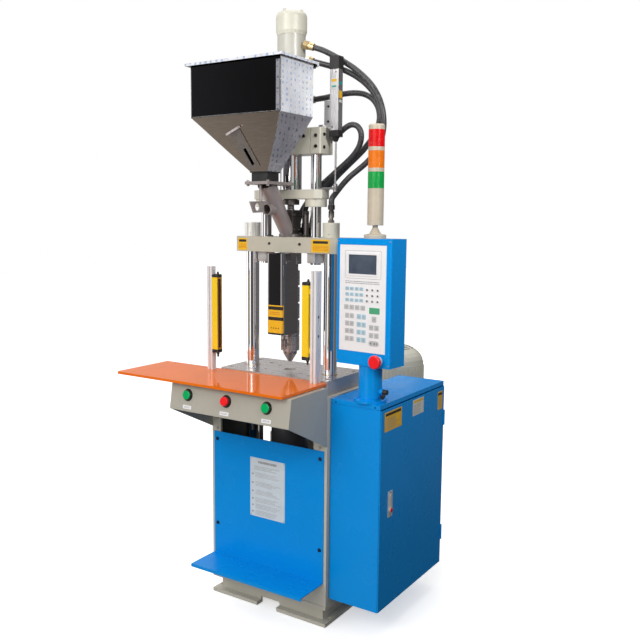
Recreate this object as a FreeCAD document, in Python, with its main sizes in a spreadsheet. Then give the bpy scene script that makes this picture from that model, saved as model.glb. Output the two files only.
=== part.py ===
import FreeCAD, Part
import math
import os
import re
from FreeCAD import Placement, Rotation, Vector

# Vertical injection moulding machine. Millimetres, +Z up, +X to the
# operator's right, +Y away from the operator. The origin is the point on the
# floor straight under the nozzle.

os.makedirs("parts", exist_ok=True)
doc = FreeCAD.newDocument("MouldingMachine")
sheet = doc.addObject("Spreadsheet::Sheet", "Dims")

DRIVING = {
    # frame and base
    "frame_half": 230, "frame_front": -129, "frame_back": 150, "frame_low": 69,
    "frame_top": 742, "frame_wall": 8, "base_back": 640, "base_web": 207,
    "base_flange": 12, "base_deck": 57,
    # platens and tie bars
    "platen_half": 212, "platen_front": -106, "platen_back": 129,
    "platen_top": 788, "bar_spacing": 156, "bar_radius": 22.5,
    "bar_bottom": 236, "beam_low": 250, "beam_high": 300,
    "head_half": 202, "head_front": -36, "head_back": 62, "head_low": 1178,
    "head_top": 1228, "cap_radius": 27, "cap_top": 1275,
    # injection unit
    "rod_spacing": 98, "rod_radius": 17, "rod_low": 1140, "block_top": 1570,
    "block_low": 1489, "block_half": 137, "block_depth": 38,
    "ram_radius": 35, "cross_low": 1350, "cross_top": 1379,
    "cylinder_radius": 45, "cylinder_bore": 39, "cylinder_top": 1863,
    "motor_radius": 49.5, "motor_top": 1934, "shaft_radius": 13.95,
    "screw_radius": 12.45, "barrel_radius": 26, "barrel_bore": 12.5,
    "barrel_low": 849, "nozzle_tip": 815, "feed_half": 24, "feed_top": 1315,
    "run_gap": 0.05,
    # hopper
    "hopper_left": -215, "hopper_right": 127, "hopper_front": -238,
    "hopper_rear": -66, "hopper_top": 1757.8, "hopper_knee": 1596,
    "hopper_mouth": 1430, "hopper_sheet": 2, "outlet_y": -140,
    "outlet_half": 33, "neck_low": 1402,
    # table, console and panel
    "table_left": -454, "table_right": 212, "table_front": -347,
    "table_back": -107, "table_low": 776, "table_top": 784,
    "console_half": 229, "panel_half": 220, "panel_low": 144,
    "panel_top": 573, "shelf_depth": 123.5, "panel_sheet": 2.5,
    # cabinet and control box
    "cabinet_left": 232, "cabinet_right": 407, "cabinet_front": -113,
    "cabinet_back": 343, "cabinet_low": 92, "cabinet_top": 739,
    "cabinet_sheet": 3, "post_x": 346, "post_y": -72, "post_radius": 35.5,
    "box_low": 852, "box_top": 1230, "box_width": 195, "box_depth": 84,
    "box_sheet": 3, "box_yaw": -4.7,
    # tank and pump motor
    "tank_half": 220, "tank_front": 190, "tank_low": 69, "tank_top": 500,
    "pump_x": 142, "pump_y": 500, "pump_radius": 88,
    "hose_radius": 9,
}

names = {}
cell_row = [0]


def cell(alias, value):
    """Put one plain number in the sheet under a word of its own."""
    cell_row[0] += 1
    sheet.set("A%d" % cell_row[0], alias)
    sheet.set("B%d" % cell_row[0], repr(float(value)))
    sheet.setAlias("B%d" % cell_row[0], alias)
    names[alias] = float(value)


for alias, value in DRIVING.items():
    cell(alias, value)
sheet.recompute()
stale = [False]


def num(owner, role, value):
    """Expression for a size: a formula of named sizes, or a new named size."""
    if isinstance(value, str):
        return re.sub(r"[a-z_]{3,}",
                      lambda m: "Dims." + m.group(0) if m.group(0) in names else m.group(0), value)
    alias = (owner + "_" + role).lower()
    if alias not in names:
        cell(alias, value)
        stale[0] = True
    return "Dims." + alias


def val(value):
    """The number that a formula of named sizes stands for, read from the sheet."""
    if not isinstance(value, str):
        return float(value)
    text = re.sub(r"[a-z_]{3,}", lambda m: repr(sheet.get(m.group(0))) if m.group(0) in names else m.group(0), value)
    total, token = 0.0, re.findall(r"[+-]?[^+-]+", text.replace(" ", ""))
    for t in token:
        product = 1.0
        for i, f in enumerate(re.split(r"([*/])", t)):
            if i == 0:
                product = float(f)
            elif f in "*/":
                op = f
            else:
                product = product * float(f) if op == "*" else product / float(f)
        total += product
    return total


def bind(obj, **sizes):
    made = []
    for role, value in sizes.items():
        prop = {"x": "Placement.Base.x", "y": "Placement.Base.y", "z": "Placement.Base.z"}.get(role, role)
        if value == 0 and role in "xyz":
            continue
        made.append((prop, num(obj.Name, {"x": "at_x", "y": "at_y", "z": "at_z"}.get(role, role), value)))
    if stale[0]:
        sheet.recompute()
        stale[0] = False
    for prop, text in made:
        obj.setExpression(prop, text)
    return obj


def diff(high, low):
    if isinstance(high, str) or isinstance(low, str):
        return "(%s)-(%s)" % (high, low)
    return high - low


TURN = {"z": Rotation(), "x": Rotation(Vector(0, 1, 0), 90), "y": Rotation(Vector(1, 0, 0), -90)}


def box(name, x0, x1, y0, y1, z0, z1):
    o = doc.addObject("Part::Box", name)
    return bind(o, Length=diff(x1, x0), Width=diff(y1, y0), Height=diff(z1, z0), x=x0, y=y0, z=z0)


def cyl(name, x, y, z, r, length, along="z", turn=None):
    o = doc.addObject("Part::Cylinder", name)
    o.Placement = Placement(Vector(0, 0, 0), turn or TURN[along])
    return bind(o, Radius=r, Height=length, x=x, y=y, z=z)


def cone(name, x, y, z, r1, r2, length, along="z", turn=None):
    o = doc.addObject("Part::Cone", name)
    o.Placement = Placement(Vector(0, 0, 0), turn or TURN[along])
    return bind(o, Radius1=r1, Radius2=r2, Height=length, x=x, y=y, z=z)


def hexagon(name, x, y, z, r, length, along="z", turn=None):
    o = doc.addObject("Part::Prism", name)
    o.Polygon = 6
    o.Placement = Placement(Vector(0, 0, 0), turn or TURN[along])
    return bind(o, Circumradius=r, Height=length, x=x, y=y, z=z)


def ring(name, x, y, z, r_out, r_in, length, along="z"):
    return cut(name, cyl(name + "_outside", x, y, z, r_out, length, along),
               cyl(name + "_bore", *[(v if c != along else diff(v, 1)) for v, c in ((x, "x"), (y, "y"), (z, "z"))],
                   r_in, (length + 2) if not isinstance(length, str) else length + "+2", along))


def fuse(name, *parts):
    o = doc.addObject("Part::MultiFuse", name)
    o.Shapes = list(parts)
    o.Refine = True
    return o


def group(name, *parts):
    o = doc.addObject("Part::Compound", name)
    o.Links = list(parts)
    return o


def cut(name, base, *tools):
    tool = tools[0]
    if len(tools) > 1:
        tool = doc.addObject("Part::Compound", name + "_tools")
        tool.Links = list(tools)
        fusion = doc.addObject("Part::MultiFuse", name + "_cutters")
        fusion.Shapes = list(tools)
        doc.removeObject(tool.Name)
        tool = fusion
    o = doc.addObject("Part::Cut", name)
    o.Base = base
    o.Tool = tool
    return o


def edges_of(shape, pick):
    out = []
    for i, e in enumerate(shape.Edges, 1):
        if pick(e):
            out.append(i)
    return out


def along(direction, test=None):
    """Choose straight edges that run along X, Y or Z, at places that pass a test."""
    unit = {"x": Vector(1, 0, 0), "y": Vector(0, 1, 0), "z": Vector(0, 0, 1)}[direction]

    def pick(e):
        if e.Curve.TypeId != "Part::GeomLine" or abs(abs(e.Curve.Direction.dot(unit)) - 1) > 1e-6:
            return False
        c = e.CenterOfMass
        return test is None or test(c.x, c.y, c.z)
    return pick


def soften(name, base, pick, size, kind="Part::Fillet"):
    """Round or bevel the picked edges by a size that is held in the sheet."""
    doc.recompute()
    num(name, "edge", size)
    if stale[0]:
        sheet.recompute()
        stale[0] = False
    r = float(sheet.get((name + "_edge").lower())) if not isinstance(size, str) else val(size)
    o = doc.addObject(kind, name)
    o.Base = base
    o.Edges = [(i, r, r) for i in edges_of(base.Shape, pick)]
    if not o.Edges:
        raise RuntimeError("no edges for " + name)
    return o


def plane_of(body, role):
    return [f for f in body.Origin.OriginFeatures if f.Role == role][0]


def sketch(body, name, plane, offset=0):
    s = body.newObject("Sketcher::SketchObject", name)
    s.AttachmentSupport = [(plane_of(body, plane), "")]
    s.MapMode = "FlatFace"
    if offset != 0:
        text = num(name, "offset", offset)
        if stale[0]:
            sheet.recompute()
            stale[0] = False
        s.setExpression("AttachmentOffset.Base.z", text)
    return s


def polygon(s, points):
    """A closed outline, each corner held at its distances from the sketch origin."""
    pts = [Vector(val(p[0]), val(p[1]), 0) for p in points]
    first = s.GeometryCount
    n = len(pts)
    for i in range(n):
        s.addGeometry(Part.LineSegment(pts[i], pts[(i + 1) % n]), False)
    for i in range(n):
        s.addConstraint(Sketch("Coincident", first + i, 2, first + (i + 1) % n, 1))
    for i, p in enumerate(points):
        for axis, kind in ((0, "DistanceX"), (1, "DistanceY")):
            v = pts[i].x if axis == 0 else pts[i].y
            if abs(v) < 1e-9:
                s.addConstraint(Sketch("PointOnObject", first + i, 1, -2 if axis == 0 else -1))
                continue
            c = s.addConstraint(Sketch(kind, -1, 1, first + i, 1, v))
            text = num(s.Name, "corner%d%s" % (i + first, "xy"[axis]), p[axis])
            if stale[0]:
                sheet.recompute()
                stale[0] = False
            s.setExpression("Constraints[%d]" % c, text)


def circle(s, x, y, r):
    g = s.addGeometry(Part.Circle(Vector(val(x), val(y), 0), Vector(0, 0, 1), val(r)), False)
    for axis, v, kind in ((0, x, "DistanceX"), (1, y, "DistanceY")):
        if abs(val(v)) < 1e-9:
            s.addConstraint(Sketch("PointOnObject", g, 3, -2 if axis == 0 else -1))
        else:
            c = s.addConstraint(Sketch(kind, -1, 1, g, 3, val(v)))
            text = num(s.Name, "hole%d%s" % (g, "xy"[axis]), v)
            if stale[0]:
                sheet.recompute()
                stale[0] = False
            s.setExpression("Constraints[%d]" % c, text)
    c = s.addConstraint(Sketch("Radius", g, val(r)))
    text = num(s.Name, "hole%dr" % g, r)
    if stale[0]:
        sheet.recompute()
        stale[0] = False
    s.setExpression("Constraints[%d]" % c, text)


import Sketcher


def Sketch(kind, *args):
    return Sketcher.Constraint(kind, *args)


def pad(name, plane, points, start, length, holes=(), inner=()):
    """A body made from one outline, with any round or cornered openings, drawn out by a length."""
    b = doc.addObject("PartDesign::Body", name)
    s = sketch(b, name + "_outline", plane, start)
    polygon(s, points)
    for loop in inner:
        polygon(s, loop)
    for h in holes:
        circle(s, *h)
    p = b.newObject("PartDesign::Pad", name + "_pad")
    p.Profile = s
    bind(p, Length=length)
    return b


def pocket(body, name, plane, offset, depth, points=None, holes=(), back=False):
    s = sketch(body, name + "_outline", plane, offset)
    if points:
        polygon(s, points)
    for h in holes:
        circle(s, *h)
    p = body.newObject("PartDesign::Pocket", name)
    p.Profile = s
    p.Reversed = back
    bind(p, Length=depth)
    return p


def turned(name, points, x=0, y=0, z=0):
    """A body turned about its own upright axis from a half profile of radius and height."""
    b = doc.addObject("PartDesign::Body", name)
    s = sketch(b, name + "_profile", "XZ_Plane")
    polygon(s, points)
    r = b.newObject("PartDesign::Revolution", name + "_turn")
    r.Profile = s
    r.ReferenceAxis = (s, ["V_Axis"])
    r.Angle = 360
    bind(b, x=x, y=y, z=z)
    return b


def rect(x0, x1, y0, y1):
    return [(x0, y0), (x1, y0), (x1, y1), (x0, y1)]


NODES = []


def node(label, obj):
    obj.Label = label
    NODES.append(obj)
    return obj


# ---------------------------------------------------------------- base
# welded base: a foot plate with outward flanges, a recessed web and a deck
foot = box("foot_plate", "-frame_half", "frame_half", "frame_front-2", "base_back", 0, "base_flange")
web = box("foot_web", "-base_web", "base_web", "frame_front+21", "base_back-23", "base_flange", "base_deck")
deck = box("foot_deck", "-frame_half", "frame_half", "frame_front-2", "base_back", "base_deck", "frame_low")
well = box("foot_well", "-base_web+8", "base_web-8", "frame_front+29", "base_back-31", -1, "frame_low+1")
notch = pad("foot_notch", "XZ_Plane", [(-39, -1), (41, -1), (34, 22), (-39, 22)], 100, 60)
holes = [cyl("anchor_%s" % k, x, y, -1, 7, 14) for k, x, y in (
    ("fl", -218.5, -90), ("fr", 218.5, -90), ("ml", -218.5, 90), ("mr", 218.5, 90),
    ("rl", -218.5, 430), ("rr", 218.5, 430), ("bl", -218.5, 600), ("br", 218.5, 600))]
node("base", cut("base_weldment", fuse("base_solid", foot, web, deck), well, notch, *holes))

# ---------------------------------------------------------------- frame
# upright welded frame: two side plates, a front plate with a window, a floor
# plate, a rear stiffener and a thick top plate that the lower platen sits on
front_plate = pad("frame_face", "XZ_Plane",
                  [("-frame_half+frame_wall", "frame_low"), ("frame_half-frame_wall", "frame_low"),
                   ("frame_half-frame_wall", "frame_top-20"), ("-frame_half+frame_wall", "frame_top-20")],
                  "-frame_front-frame_wall", "frame_wall",
                  holes=[(x, z, 3.3) for x in (-206, 206) for z in (252, 547)],
                  inner=[[(-193, 110), (180, 110), (180, 596), (152, 618), (152, 690), (-170, 690), (-193, 668)]])
side_l = box("frame_side_left", "-frame_half", "-frame_half+frame_wall", "frame_front", "frame_back", "frame_low", "frame_top-20")
side_r = box("frame_side_right", "frame_half-frame_wall", "frame_half", "frame_front", "frame_back", "frame_low", "frame_top-20")
floor = box("frame_floor", "-frame_half", "frame_half", "frame_front+8", "frame_back", "frame_low", "frame_low+10")
back_low = box("frame_back_rail", "-frame_half", "frame_half", "frame_back-10", "frame_back", "frame_low", 190)
back_high = box("frame_back_head", "-frame_half", "frame_half", "frame_back-10", "frame_back", 600, "frame_top-20")
top = box("frame_top_plate", "-frame_half", "frame_half", "frame_front", "frame_back", "frame_top-20", "frame_top")
rib_l = box("frame_rib_left", -69, -61, "frame_front+8", -96, 596, "frame_top-20")
top_holes = [cyl("frame_bar_hole_left", "-bar_spacing", 0, 700, 30, 60), cyl("frame_bar_hole_right", "bar_spacing", 0, 700, 30, 60),
             cyl("frame_ram_hole", 0, 0, 700, 20, 60)]
frame = cut("frame_weldment", fuse("frame_solid", front_plate, side_l, side_r, floor, back_low, back_high, top, rib_l), *top_holes)
node("frame", frame)

# blue front panel, one sheet folded out into a foot shelf with a turned-up lip
panel = pad("panel_sheet_metal", "YZ_Plane",
            [("frame_front", "panel_low"), ("frame_front", "panel_top"), ("frame_front-panel_sheet", "panel_top"),
             ("frame_front-panel_sheet", "panel_low+panel_sheet"),
             ("frame_front-shelf_depth-panel_sheet", "panel_low+panel_sheet"),
             ("frame_front-shelf_depth-panel_sheet", "panel_low-8"), ("frame_front-shelf_depth", "panel_low-8"),
             ("frame_front-shelf_depth", "panel_low")],
            "-panel_half", "panel_half*2")
panel_holes = [cyl("panel_hole_%d" % i, x, "frame_front-10", z, 3.3, 20, "y")
               for i, (x, z) in enumerate((x, z) for x in (-206, 206) for z in (252, 547))]
node("front_panel", cut("front_panel_drilled", panel, *panel_holes))

# four button-head screws through the panel into the front plate
screws = []
for i, (x, z) in enumerate((x, z) for x in (-206, 206) for z in (252, 547)):
    head = cone("screw_head_%d" % i, x, "frame_front-panel_sheet", z, 6.5, 4.5, 3.5, turn=Rotation(Vector(1, 0, 0), 90))
    shank = cyl("screw_shank_%d" % i, x, "frame_front-panel_sheet-0.5", z, 3, 14, "y")
    socket = hexagon("screw_socket_%d" % i, x, "frame_front-panel_sheet-4", z, 2.2, 2.5, "y")
    screws.append(cut("panel_screw_%d" % i, fuse("screw_blank_%d" % i, head, shank), socket))
node("panel_screws", group("panel_screw_set", *screws))

# ---------------------------------------------------------------- console
# folded operator console: sloping front, two sides, top flange, open below
profile = [(-131, 588), (-131, 774), (-323, 774), (-337, 689)]
shell = pad("console_solid", "YZ_Plane", profile, "-console_half", "console_half*2")
inside = pad("console_inside", "YZ_Plane", [(-100, 560), (-100, 771), (-320.5, 771), (-334, 689.5), (-334, 655)],
             "-console_half+3", "console_half*2-6")
BUTTONS = (("left", -159), ("stop", -6), ("right", 145))
# the front face leans back by about nine degrees
lean = math.degrees(math.atan2(14, 85))
face_turn = Rotation(Vector(1, 0, 0), 90 - lean)
face_y, face_z = -328.8, 739.0
out = Vector(0, -math.cos(math.radians(lean)), math.sin(math.radians(lean)))


def face_pt(x, d):
    return x, face_y + out.y * d, face_z + out.z * d


drill = []
for k, x in BUTTONS:
    p = face_pt(x, -12)
    drill.append(cyl("console_hole_" + k, p[0], p[1], p[2], 11.2, 24, turn=face_turn))
node("console", cut("console_sheet", shell, inside, *drill))

bezels = []
for k, x in BUTTONS:
    a = face_pt(x, 0)
    b = face_pt(x, -26)
    flange = cone("bezel_flange_" + k, a[0], a[1], a[2], 19.5, 16.5, 6, turn=face_turn)
    barrel = cyl("bezel_barrel_" + k, b[0], b[1], b[2], 11, 27, turn=face_turn)
    c = face_pt(x, -24)
    bore = cyl("bezel_bore_" + k, c[0], c[1], c[2], 9.05, 40, turn=face_turn)
    recess = face_pt(x, 2)
    cup = cyl("bezel_cup_" + k, recess[0], recess[1], recess[2], 14.3, 10, turn=face_turn)
    nut = face_pt(x, -7)
    nut_body = hexagon("bezel_nut_" + k, nut[0], nut[1], nut[2], 15, 3.8, turn=face_turn)
    bezels.append(cut("button_bezel_" + k, fuse("bezel_body_" + k, flange, barrel, nut_body), bore, cup))
node("button_bezels", group("button_bezel_set", *bezels))

for k, x in BUTTONS:
    rise = 5.0 if k != "stop" else 9.0
    a = face_pt(x, 5.0)
    b = face_pt(x, -18)
    cap = cyl("push_cap_" + k, a[0], a[1], a[2], 14, rise, turn=face_turn)
    stem = cyl("push_stem_" + k, b[0], b[1], b[2], 9, 24, turn=face_turn)
    head = fuse("push_body_" + k, cap, stem)
    doc.recompute()
    node("button_" + k, soften("push_button_" + k, head,
         lambda e, a=a, rise=rise: hasattr(e.Curve, "Radius") and abs(e.Curve.Radius - 14) < 1e-3
         and (e.CenterOfMass - Vector(*a)).dot(out) > rise - 0.1, 1.6))

# ---------------------------------------------------------------- table
table = pad("table_sheet", "XY_Plane", rect("table_left", "table_right", "table_front", "table_back"),
            "table_low", "table_top-table_low", holes=[(-404, -322, 3)])
node("table", soften("table_rounded", table, along("z", lambda x, y, z: y < -300), 6))

# ---------------------------------------------------------------- lower platen
MOULD = [(-118, 60, 8), (118, 60, 8), (-118, -60, 8), (118, -60, 8),
         (-70, 40, 6.5), (70, 40, 6.5), (-70, -40, 6.5), (70, -40, 6.5),
         (-192, 92, 8), (-192, -72, 8), (192, 92, 8), (192, -72, 8)]
lower = pad("lower_platen_plate", "XY_Plane", rect("-platen_half", "platen_half", "platen_front", "platen_back"),
            "frame_top", "platen_top-frame_top",
            holes=[("-bar_spacing", 0, 28), ("bar_spacing", 0, 28), (0, 0, 20)])
blind = pocket(lower, "lower_platen_taps", "XY_Plane", "platen_top", 34, holes=MOULD)
node("lower_platen", soften("lower_platen_edges", lower, along("z", lambda x, y, z: abs(x) > 205), 4, "Part::Chamfer"))

bushes = [ring("bush_" + k, x, 0, "frame_top", 28, "bar_radius+run_gap", "platen_top-frame_top")
          for k, x in (("left", "-bar_spacing"), ("right", "bar_spacing"))]
node("guide_bushes", group("guide_bush_pair", *bushes))

# ---------------------------------------------------------------- clamp cylinder
node("clamp_cylinder", turned("clamp_barrel", [
    (30.05, 500), (30.05, 480), (62, 480), (62, 712), (90, 712), (90, 722), (0, 722), (0, 712), (45.05, 712), (45.05, 500)]))
node("clamp_ram", turned("clamp_ram_turned", [
    (0, 256), (30, 256), (30, 530), (45, 530), (45, 555), (0, 555)]))
beam = pad("crossbeam_plate", "XY_Plane",
           [(-190, -34), (190, -34), (190, 34), (60, 60), (-60, 60), (-190, 34)],
           "beam_low", "beam_high-beam_low",
           holes=[("-bar_spacing", 0, "bar_radius"), ("bar_spacing", 0, "bar_radius"), (0, 0, 30)])
node("crossbeam", soften("crossbeam_edges", beam, along("z", lambda x, y, z: abs(x) > 180), 8))

# ---------------------------------------------------------------- tie bars
bars = []
for k, x in (("left", "-bar_spacing"), ("right", "bar_spacing")):
    b = cyl("tie_bar_" + k, x, 0, "bar_bottom", "bar_radius", "cap_top-12-bar_bottom")
    bars.append(b)
node("tie_bars", group("tie_bar_pair", *bars))

caps = []
for k, x in (("left", "-bar_spacing"), ("right", "bar_spacing")):
    c = turned("tie_cap_turned_" + k, [("bar_radius", "head_top"), ("cap_radius", "head_top"), ("cap_radius", "cap_top-1.5"),
                                       ("cap_radius-1.5", "cap_top"), (0 if k == "left" else 6.5, "cap_top"),
                                       (0 if k == "left" else 6.5, "cap_top-12"), ("bar_radius", "cap_top-12")], x=x)
    screw_hole = cyl("cap_set_screw_" + k, (-146 if k == "left" else 164), -30, 1238, 2.6, 6, "y")
    caps.append(cut("tie_cap_drilled_" + k, c, screw_hole))
node("tie_caps", group("tie_cap_pair", *caps))

# ---------------------------------------------------------------- upper platen
upper = pad("upper_platen_plate", "XY_Plane", rect("-head_half", "head_half", "head_front", "head_back"),
            "head_low", "head_top-head_low",
            holes=[("-bar_spacing", 0, "bar_radius"), ("bar_spacing", 0, "bar_radius"),
                   ("-rod_spacing", 0, "rod_radius"), ("rod_spacing", 0, "rod_radius"), (0, 0, "barrel_radius")])
node("upper_platen", soften("upper_platen_edges", upper, along("z", lambda x, y, z: abs(x) > 200), 12))

rods, nuts = [], []
for k, x in (("left", "-rod_spacing"), ("right", "rod_spacing")):
    rods.append(cyl("injection_rod_" + k, x, 0, "rod_low", "rod_radius", "block_top-6-rod_low"))
    nut = cut("rod_nut_" + k, soften("rod_nut_bevel_" + k,
              hexagon("rod_nut_blank_" + k, x, 0, 1146, 30, "head_low-1146"),
              lambda e: e.CenterOfMass.z < 1146.1, 2, "Part::Chamfer"),
              cyl("rod_nut_bore_" + k, x, 0, 1140, "rod_radius", 50))
    nuts.append(nut)
node("injection_rods", group("injection_rod_pair", *rods))
node("rod_nuts", group("rod_nut_pair", *nuts))

# ---------------------------------------------------------------- barrel and nozzle
barrel = turned("barrel_turned", [
    ("barrel_bore", "barrel_low"), (24, "barrel_low"), (24, 852), ("barrel_radius", 854), ("barrel_radius", 1140),
    (36, 1140), (36, "head_low"), ("barrel_radius", "head_low"), ("barrel_radius", "head_top"),
    ("barrel_bore", "head_top")])
node("barrel", barrel)
bands = []
for i, z in enumerate((853.5, 905, 960, 1015, 1070)):
    body = ring("heater_band_ring_%d" % i, 0, 0, z, 31, "barrel_radius", 48)
    lug = box("heater_lug_%d" % i, -8, 8, -40, -29.5, z + 8, z + 40)
    gap = box("heater_gap_%d" % i, -1, 1, -45, -20, z - 1, z + 49)
    bolt_hole = cyl("heater_bolt_hole_%d" % i, -10, -35.5, z + 24, 2.2, 20, "x")
    bands.append(cut("heater_band_%d" % i, fuse("heater_blank_%d" % i, body, lug), gap, bolt_hole))
node("heater_bands", group("heater_band_set", *bands))
node("nozzle", turned("nozzle_turned", [
    (2, "nozzle_tip"), (6.5, "nozzle_tip"), (7.5, "nozzle_tip+2"), (22, "barrel_low-8"), (23, "barrel_low-7"),
    (23, "barrel_low"), (6, "barrel_low"), (2, "barrel_low-12")]))

# cover of polished sheet round the front and both sides of the heated barrel
outline = pad("cover_outside", "XY_Plane", rect(-33, 33, -88, -5), 914, 262)
outline = soften("cover_rounded", outline, along("z", lambda x, y, z: y < -60), 10)
hollow = pad("cover_inside", "XY_Plane", rect(-31.5, 31.5, -86.5, 30), 900, 290)
hollow = soften("cover_hollow", hollow, along("z", lambda x, y, z: y < -60), 8.5)
node("barrel_cover", cut("barrel_cover_sheet", outline, hollow,
     cyl("cover_collar_cut", 0, 0, 1139, 36.5, 50)))

# ---------------------------------------------------------------- feed block and chute
slant = Rotation(Vector(1, 0, 0), -143)
feed = fuse("feed_block_solid", box("feed_body", "-feed_half", "feed_half", "-feed_half", "feed_half", "head_top+8", "feed_top"),
            cyl("feed_flange", 0, 0, "head_top", 38, 10))
side_tube = cyl("feed_coolant_post", 46, 22, "head_top", 9, 80)
feed_screws = []
for i, (x, y, z) in enumerate(((24, -14, 1300), (24, -14, 1252), (24, 14, 1300), (24, 14, 1252))):
    feed_screws.append(hexagon("feed_screw_%d" % i, x, y, z, 6, 5, "x"))
for i, a in enumerate((30, 110, 190, 270)):
    feed_screws.append(hexagon("feed_bolt_%d" % i, 31.5 * math.cos(math.radians(a)), 31.5 * math.sin(math.radians(a)), 1237, 5, 5))
feed_cut = cut("feed_block_bored", fuse("feed_block_body", feed, *feed_screws),
               cyl("feed_bore", 0, 0, "head_top-1", "barrel_bore", 100),
               cyl("feed_throat", 0, -134, 1396, 9, 209, turn=slant))
post_set = fuse("feed_coolant_set", side_tube, hexagon("feed_coolant_nut", 46, 22, "head_top", 12, 8),
                hexagon("feed_coolant_cap", 46, 22, "head_top+72", 11, 12))
node("feed_block", group("feed_block_set", feed_cut, post_set))

# inclined stainless chute: square flange, tube down to the feed block, open drain stub
chute_plate = box("chute_flange", -45, 45, -185, -47, 1391, 1400)
tube_out = cone("chute_tube", 0, -134, 1396, 29, 23.5, 190, turn=slant)
tube_in = cone("chute_tube_inside", 0, -134.6, 1396.8, 27, 21.5, 192, turn=slant)
stub_turn = Rotation(Vector(1, 0, 0), 92)
stub_out = cyl("chute_drain", 0, -70, 1317, 17, 64, turn=stub_turn)
stub_in = cyl("chute_drain_inside", 0, -70, 1317, 15, 80, turn=stub_turn)
lug = pad("chute_bracket", "YZ_Plane", [(-120, 1341), (-219, 1338), (-201, 1304), (-120, 1307)], -2.5, 5, holes=[(-182, 1322, 12)])
hanger = cyl("chute_hanger", 0, -163, 1339, 5, 54)
chute_bolts = [hexagon("chute_bolt_%d" % i, x, y, 1386, 5, 18) for i, (x, y) in enumerate(((-38, -178), (38, -178), (-38, -56), (38, -56)))]
chute = cut("feed_chute_welded", fuse("chute_outside", chute_plate, tube_out, stub_out, lug, hanger, *chute_bolts), tube_in, stub_in,
            box("chute_trim_top", -30, 30, -170, -100, 1400, 1460),
            box("chute_mouth_block", "-feed_half", "feed_half", "-feed_half", "feed_half+90", 1150, "feed_top+60"),
            cyl("chute_base_trim", 0, 0, 1150, 38.2, 88),
            cyl("chute_mouth", 0, -138, 1380, 22, 30))
node("feed_chute", chute)

node("hopper_neck", cut("hopper_neck_sleeve", fuse("neck_solid",
     box("neck_collar", "-outlet_half-1", "outlet_half+1", "outlet_y-outlet_half-1", "outlet_y+outlet_half+1", "hopper_mouth-3", "hopper_mouth"),
     box("neck_outside", "-outlet_half+3", "outlet_half-3", "outlet_y-outlet_half+3", "outlet_y+outlet_half-3", 1400, "hopper_mouth-2")),
     box("neck_inside", "-outlet_half+6", "outlet_half-6", "outlet_y-outlet_half+6", "outlet_y+outlet_half-6", 1390, 1440)))

# ---------------------------------------------------------------- hopper
hop = doc.addObject("PartDesign::Body", "hopper_body")


def rim(body, name, z, inset):
    s = sketch(body, name, "XY_Plane", z)
    if z == "hopper_knee":
        polygon(s, rect("hopper_left+%s" % inset, "hopper_right-%s" % inset, "hopper_front+%s" % inset, "hopper_rear-%s" % inset))
    else:
        polygon(s, rect("-outlet_half+%s" % inset, "outlet_half-%s" % inset, "outlet_y-outlet_half+%s" % inset, "outlet_y+outlet_half-%s" % inset))
    return s


s_knee = rim(hop, "hopper_knee_outline", "hopper_knee", 0)
s_mouth = rim(hop, "hopper_mouth_outline", "hopper_mouth", 0)
loft = hop.newObject("PartDesign::AdditiveLoft", "hopper_cone")
loft.Profile = s_mouth
loft.Sections = [s_knee]
loft.Ruled = True
s_box = sketch(hop, "hopper_walls_outline", "XY_Plane", "hopper_knee")
polygon(s_box, rect("hopper_left", "hopper_right", "hopper_front", "hopper_rear"))
walls = hop.newObject("PartDesign::Pad", "hopper_walls")
walls.Profile = s_box
bind(walls, Length="hopper_top-hopper_knee")
doc.recompute()
hop_in = doc.addObject("PartDesign::Body", "hopper_void")
v_mouth = sketch(hop_in, "void_mouth_outline", "XY_Plane", "hopper_mouth")
polygon(v_mouth, rect("-outlet_half+hopper_sheet", "outlet_half-hopper_sheet", "outlet_y-outlet_half+hopper_sheet", "outlet_y+outlet_half-hopper_sheet"))
v_knee = sketch(hop_in, "void_knee_outline", "XY_Plane", "hopper_knee")
polygon(v_knee, rect("hopper_left+hopper_sheet", "hopper_right-hopper_sheet", "hopper_front+hopper_sheet", "hopper_rear-hopper_sheet"))
v_loft = hop_in.newObject("PartDesign::AdditiveLoft", "void_cone")
v_loft.Profile = v_mouth
v_loft.Sections = [v_knee]
v_loft.Ruled = True
v_box = sketch(hop_in, "void_walls_outline", "XY_Plane", "hopper_knee")
polygon(v_box, rect("hopper_left+hopper_sheet", "hopper_right-hopper_sheet", "hopper_front+hopper_sheet", "hopper_rear-hopper_sheet"))
v_walls = hop_in.newObject("PartDesign::Pad", "void_walls")
v_walls.Profile = v_box
bind(v_walls, Length="hopper_top-hopper_knee+5")
# sight slot in the front slope, and a bracket back to the cylinder
slot = Vector(0, -198, 1500)
normal = Vector(0, -0.9312, -0.3646)
down = Vector(50, 47, -120)
down.normalize()
across = down.cross(normal)
across.normalize()
down = normal.cross(across)
m = FreeCAD.Matrix(across.x, down.x, normal.x, 0, across.y, down.y, normal.y, 0, across.z, down.z, normal.z, 0, 0, 0, 0, 1)
strip_turn = Placement(m).Rotation
strip_corner = Vector(-57, -222.3, 1556) + normal * 0.3 - across * 21


def on_strip(name, x, y, z, width, length, height):
    """A block drawn in the strip's own directions: across it, down the slope, out of it."""
    o = doc.addObject("Part::Box", name)
    o.Placement = Placement(Vector(0, 0, 0), strip_turn)
    at = strip_corner + across * x + down * y + normal * z
    return bind(o, Length=width, Width=length, Height=height, x=at.x, y=at.y, z=at.z)


sight_slot = on_strip("sight_slot_cut", 12, 62, -12, 18, 60, 20)
stay_low = box("hopper_stay", -12, 40, "hopper_rear", "-cylinder_radius", 1640, 1700)
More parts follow.
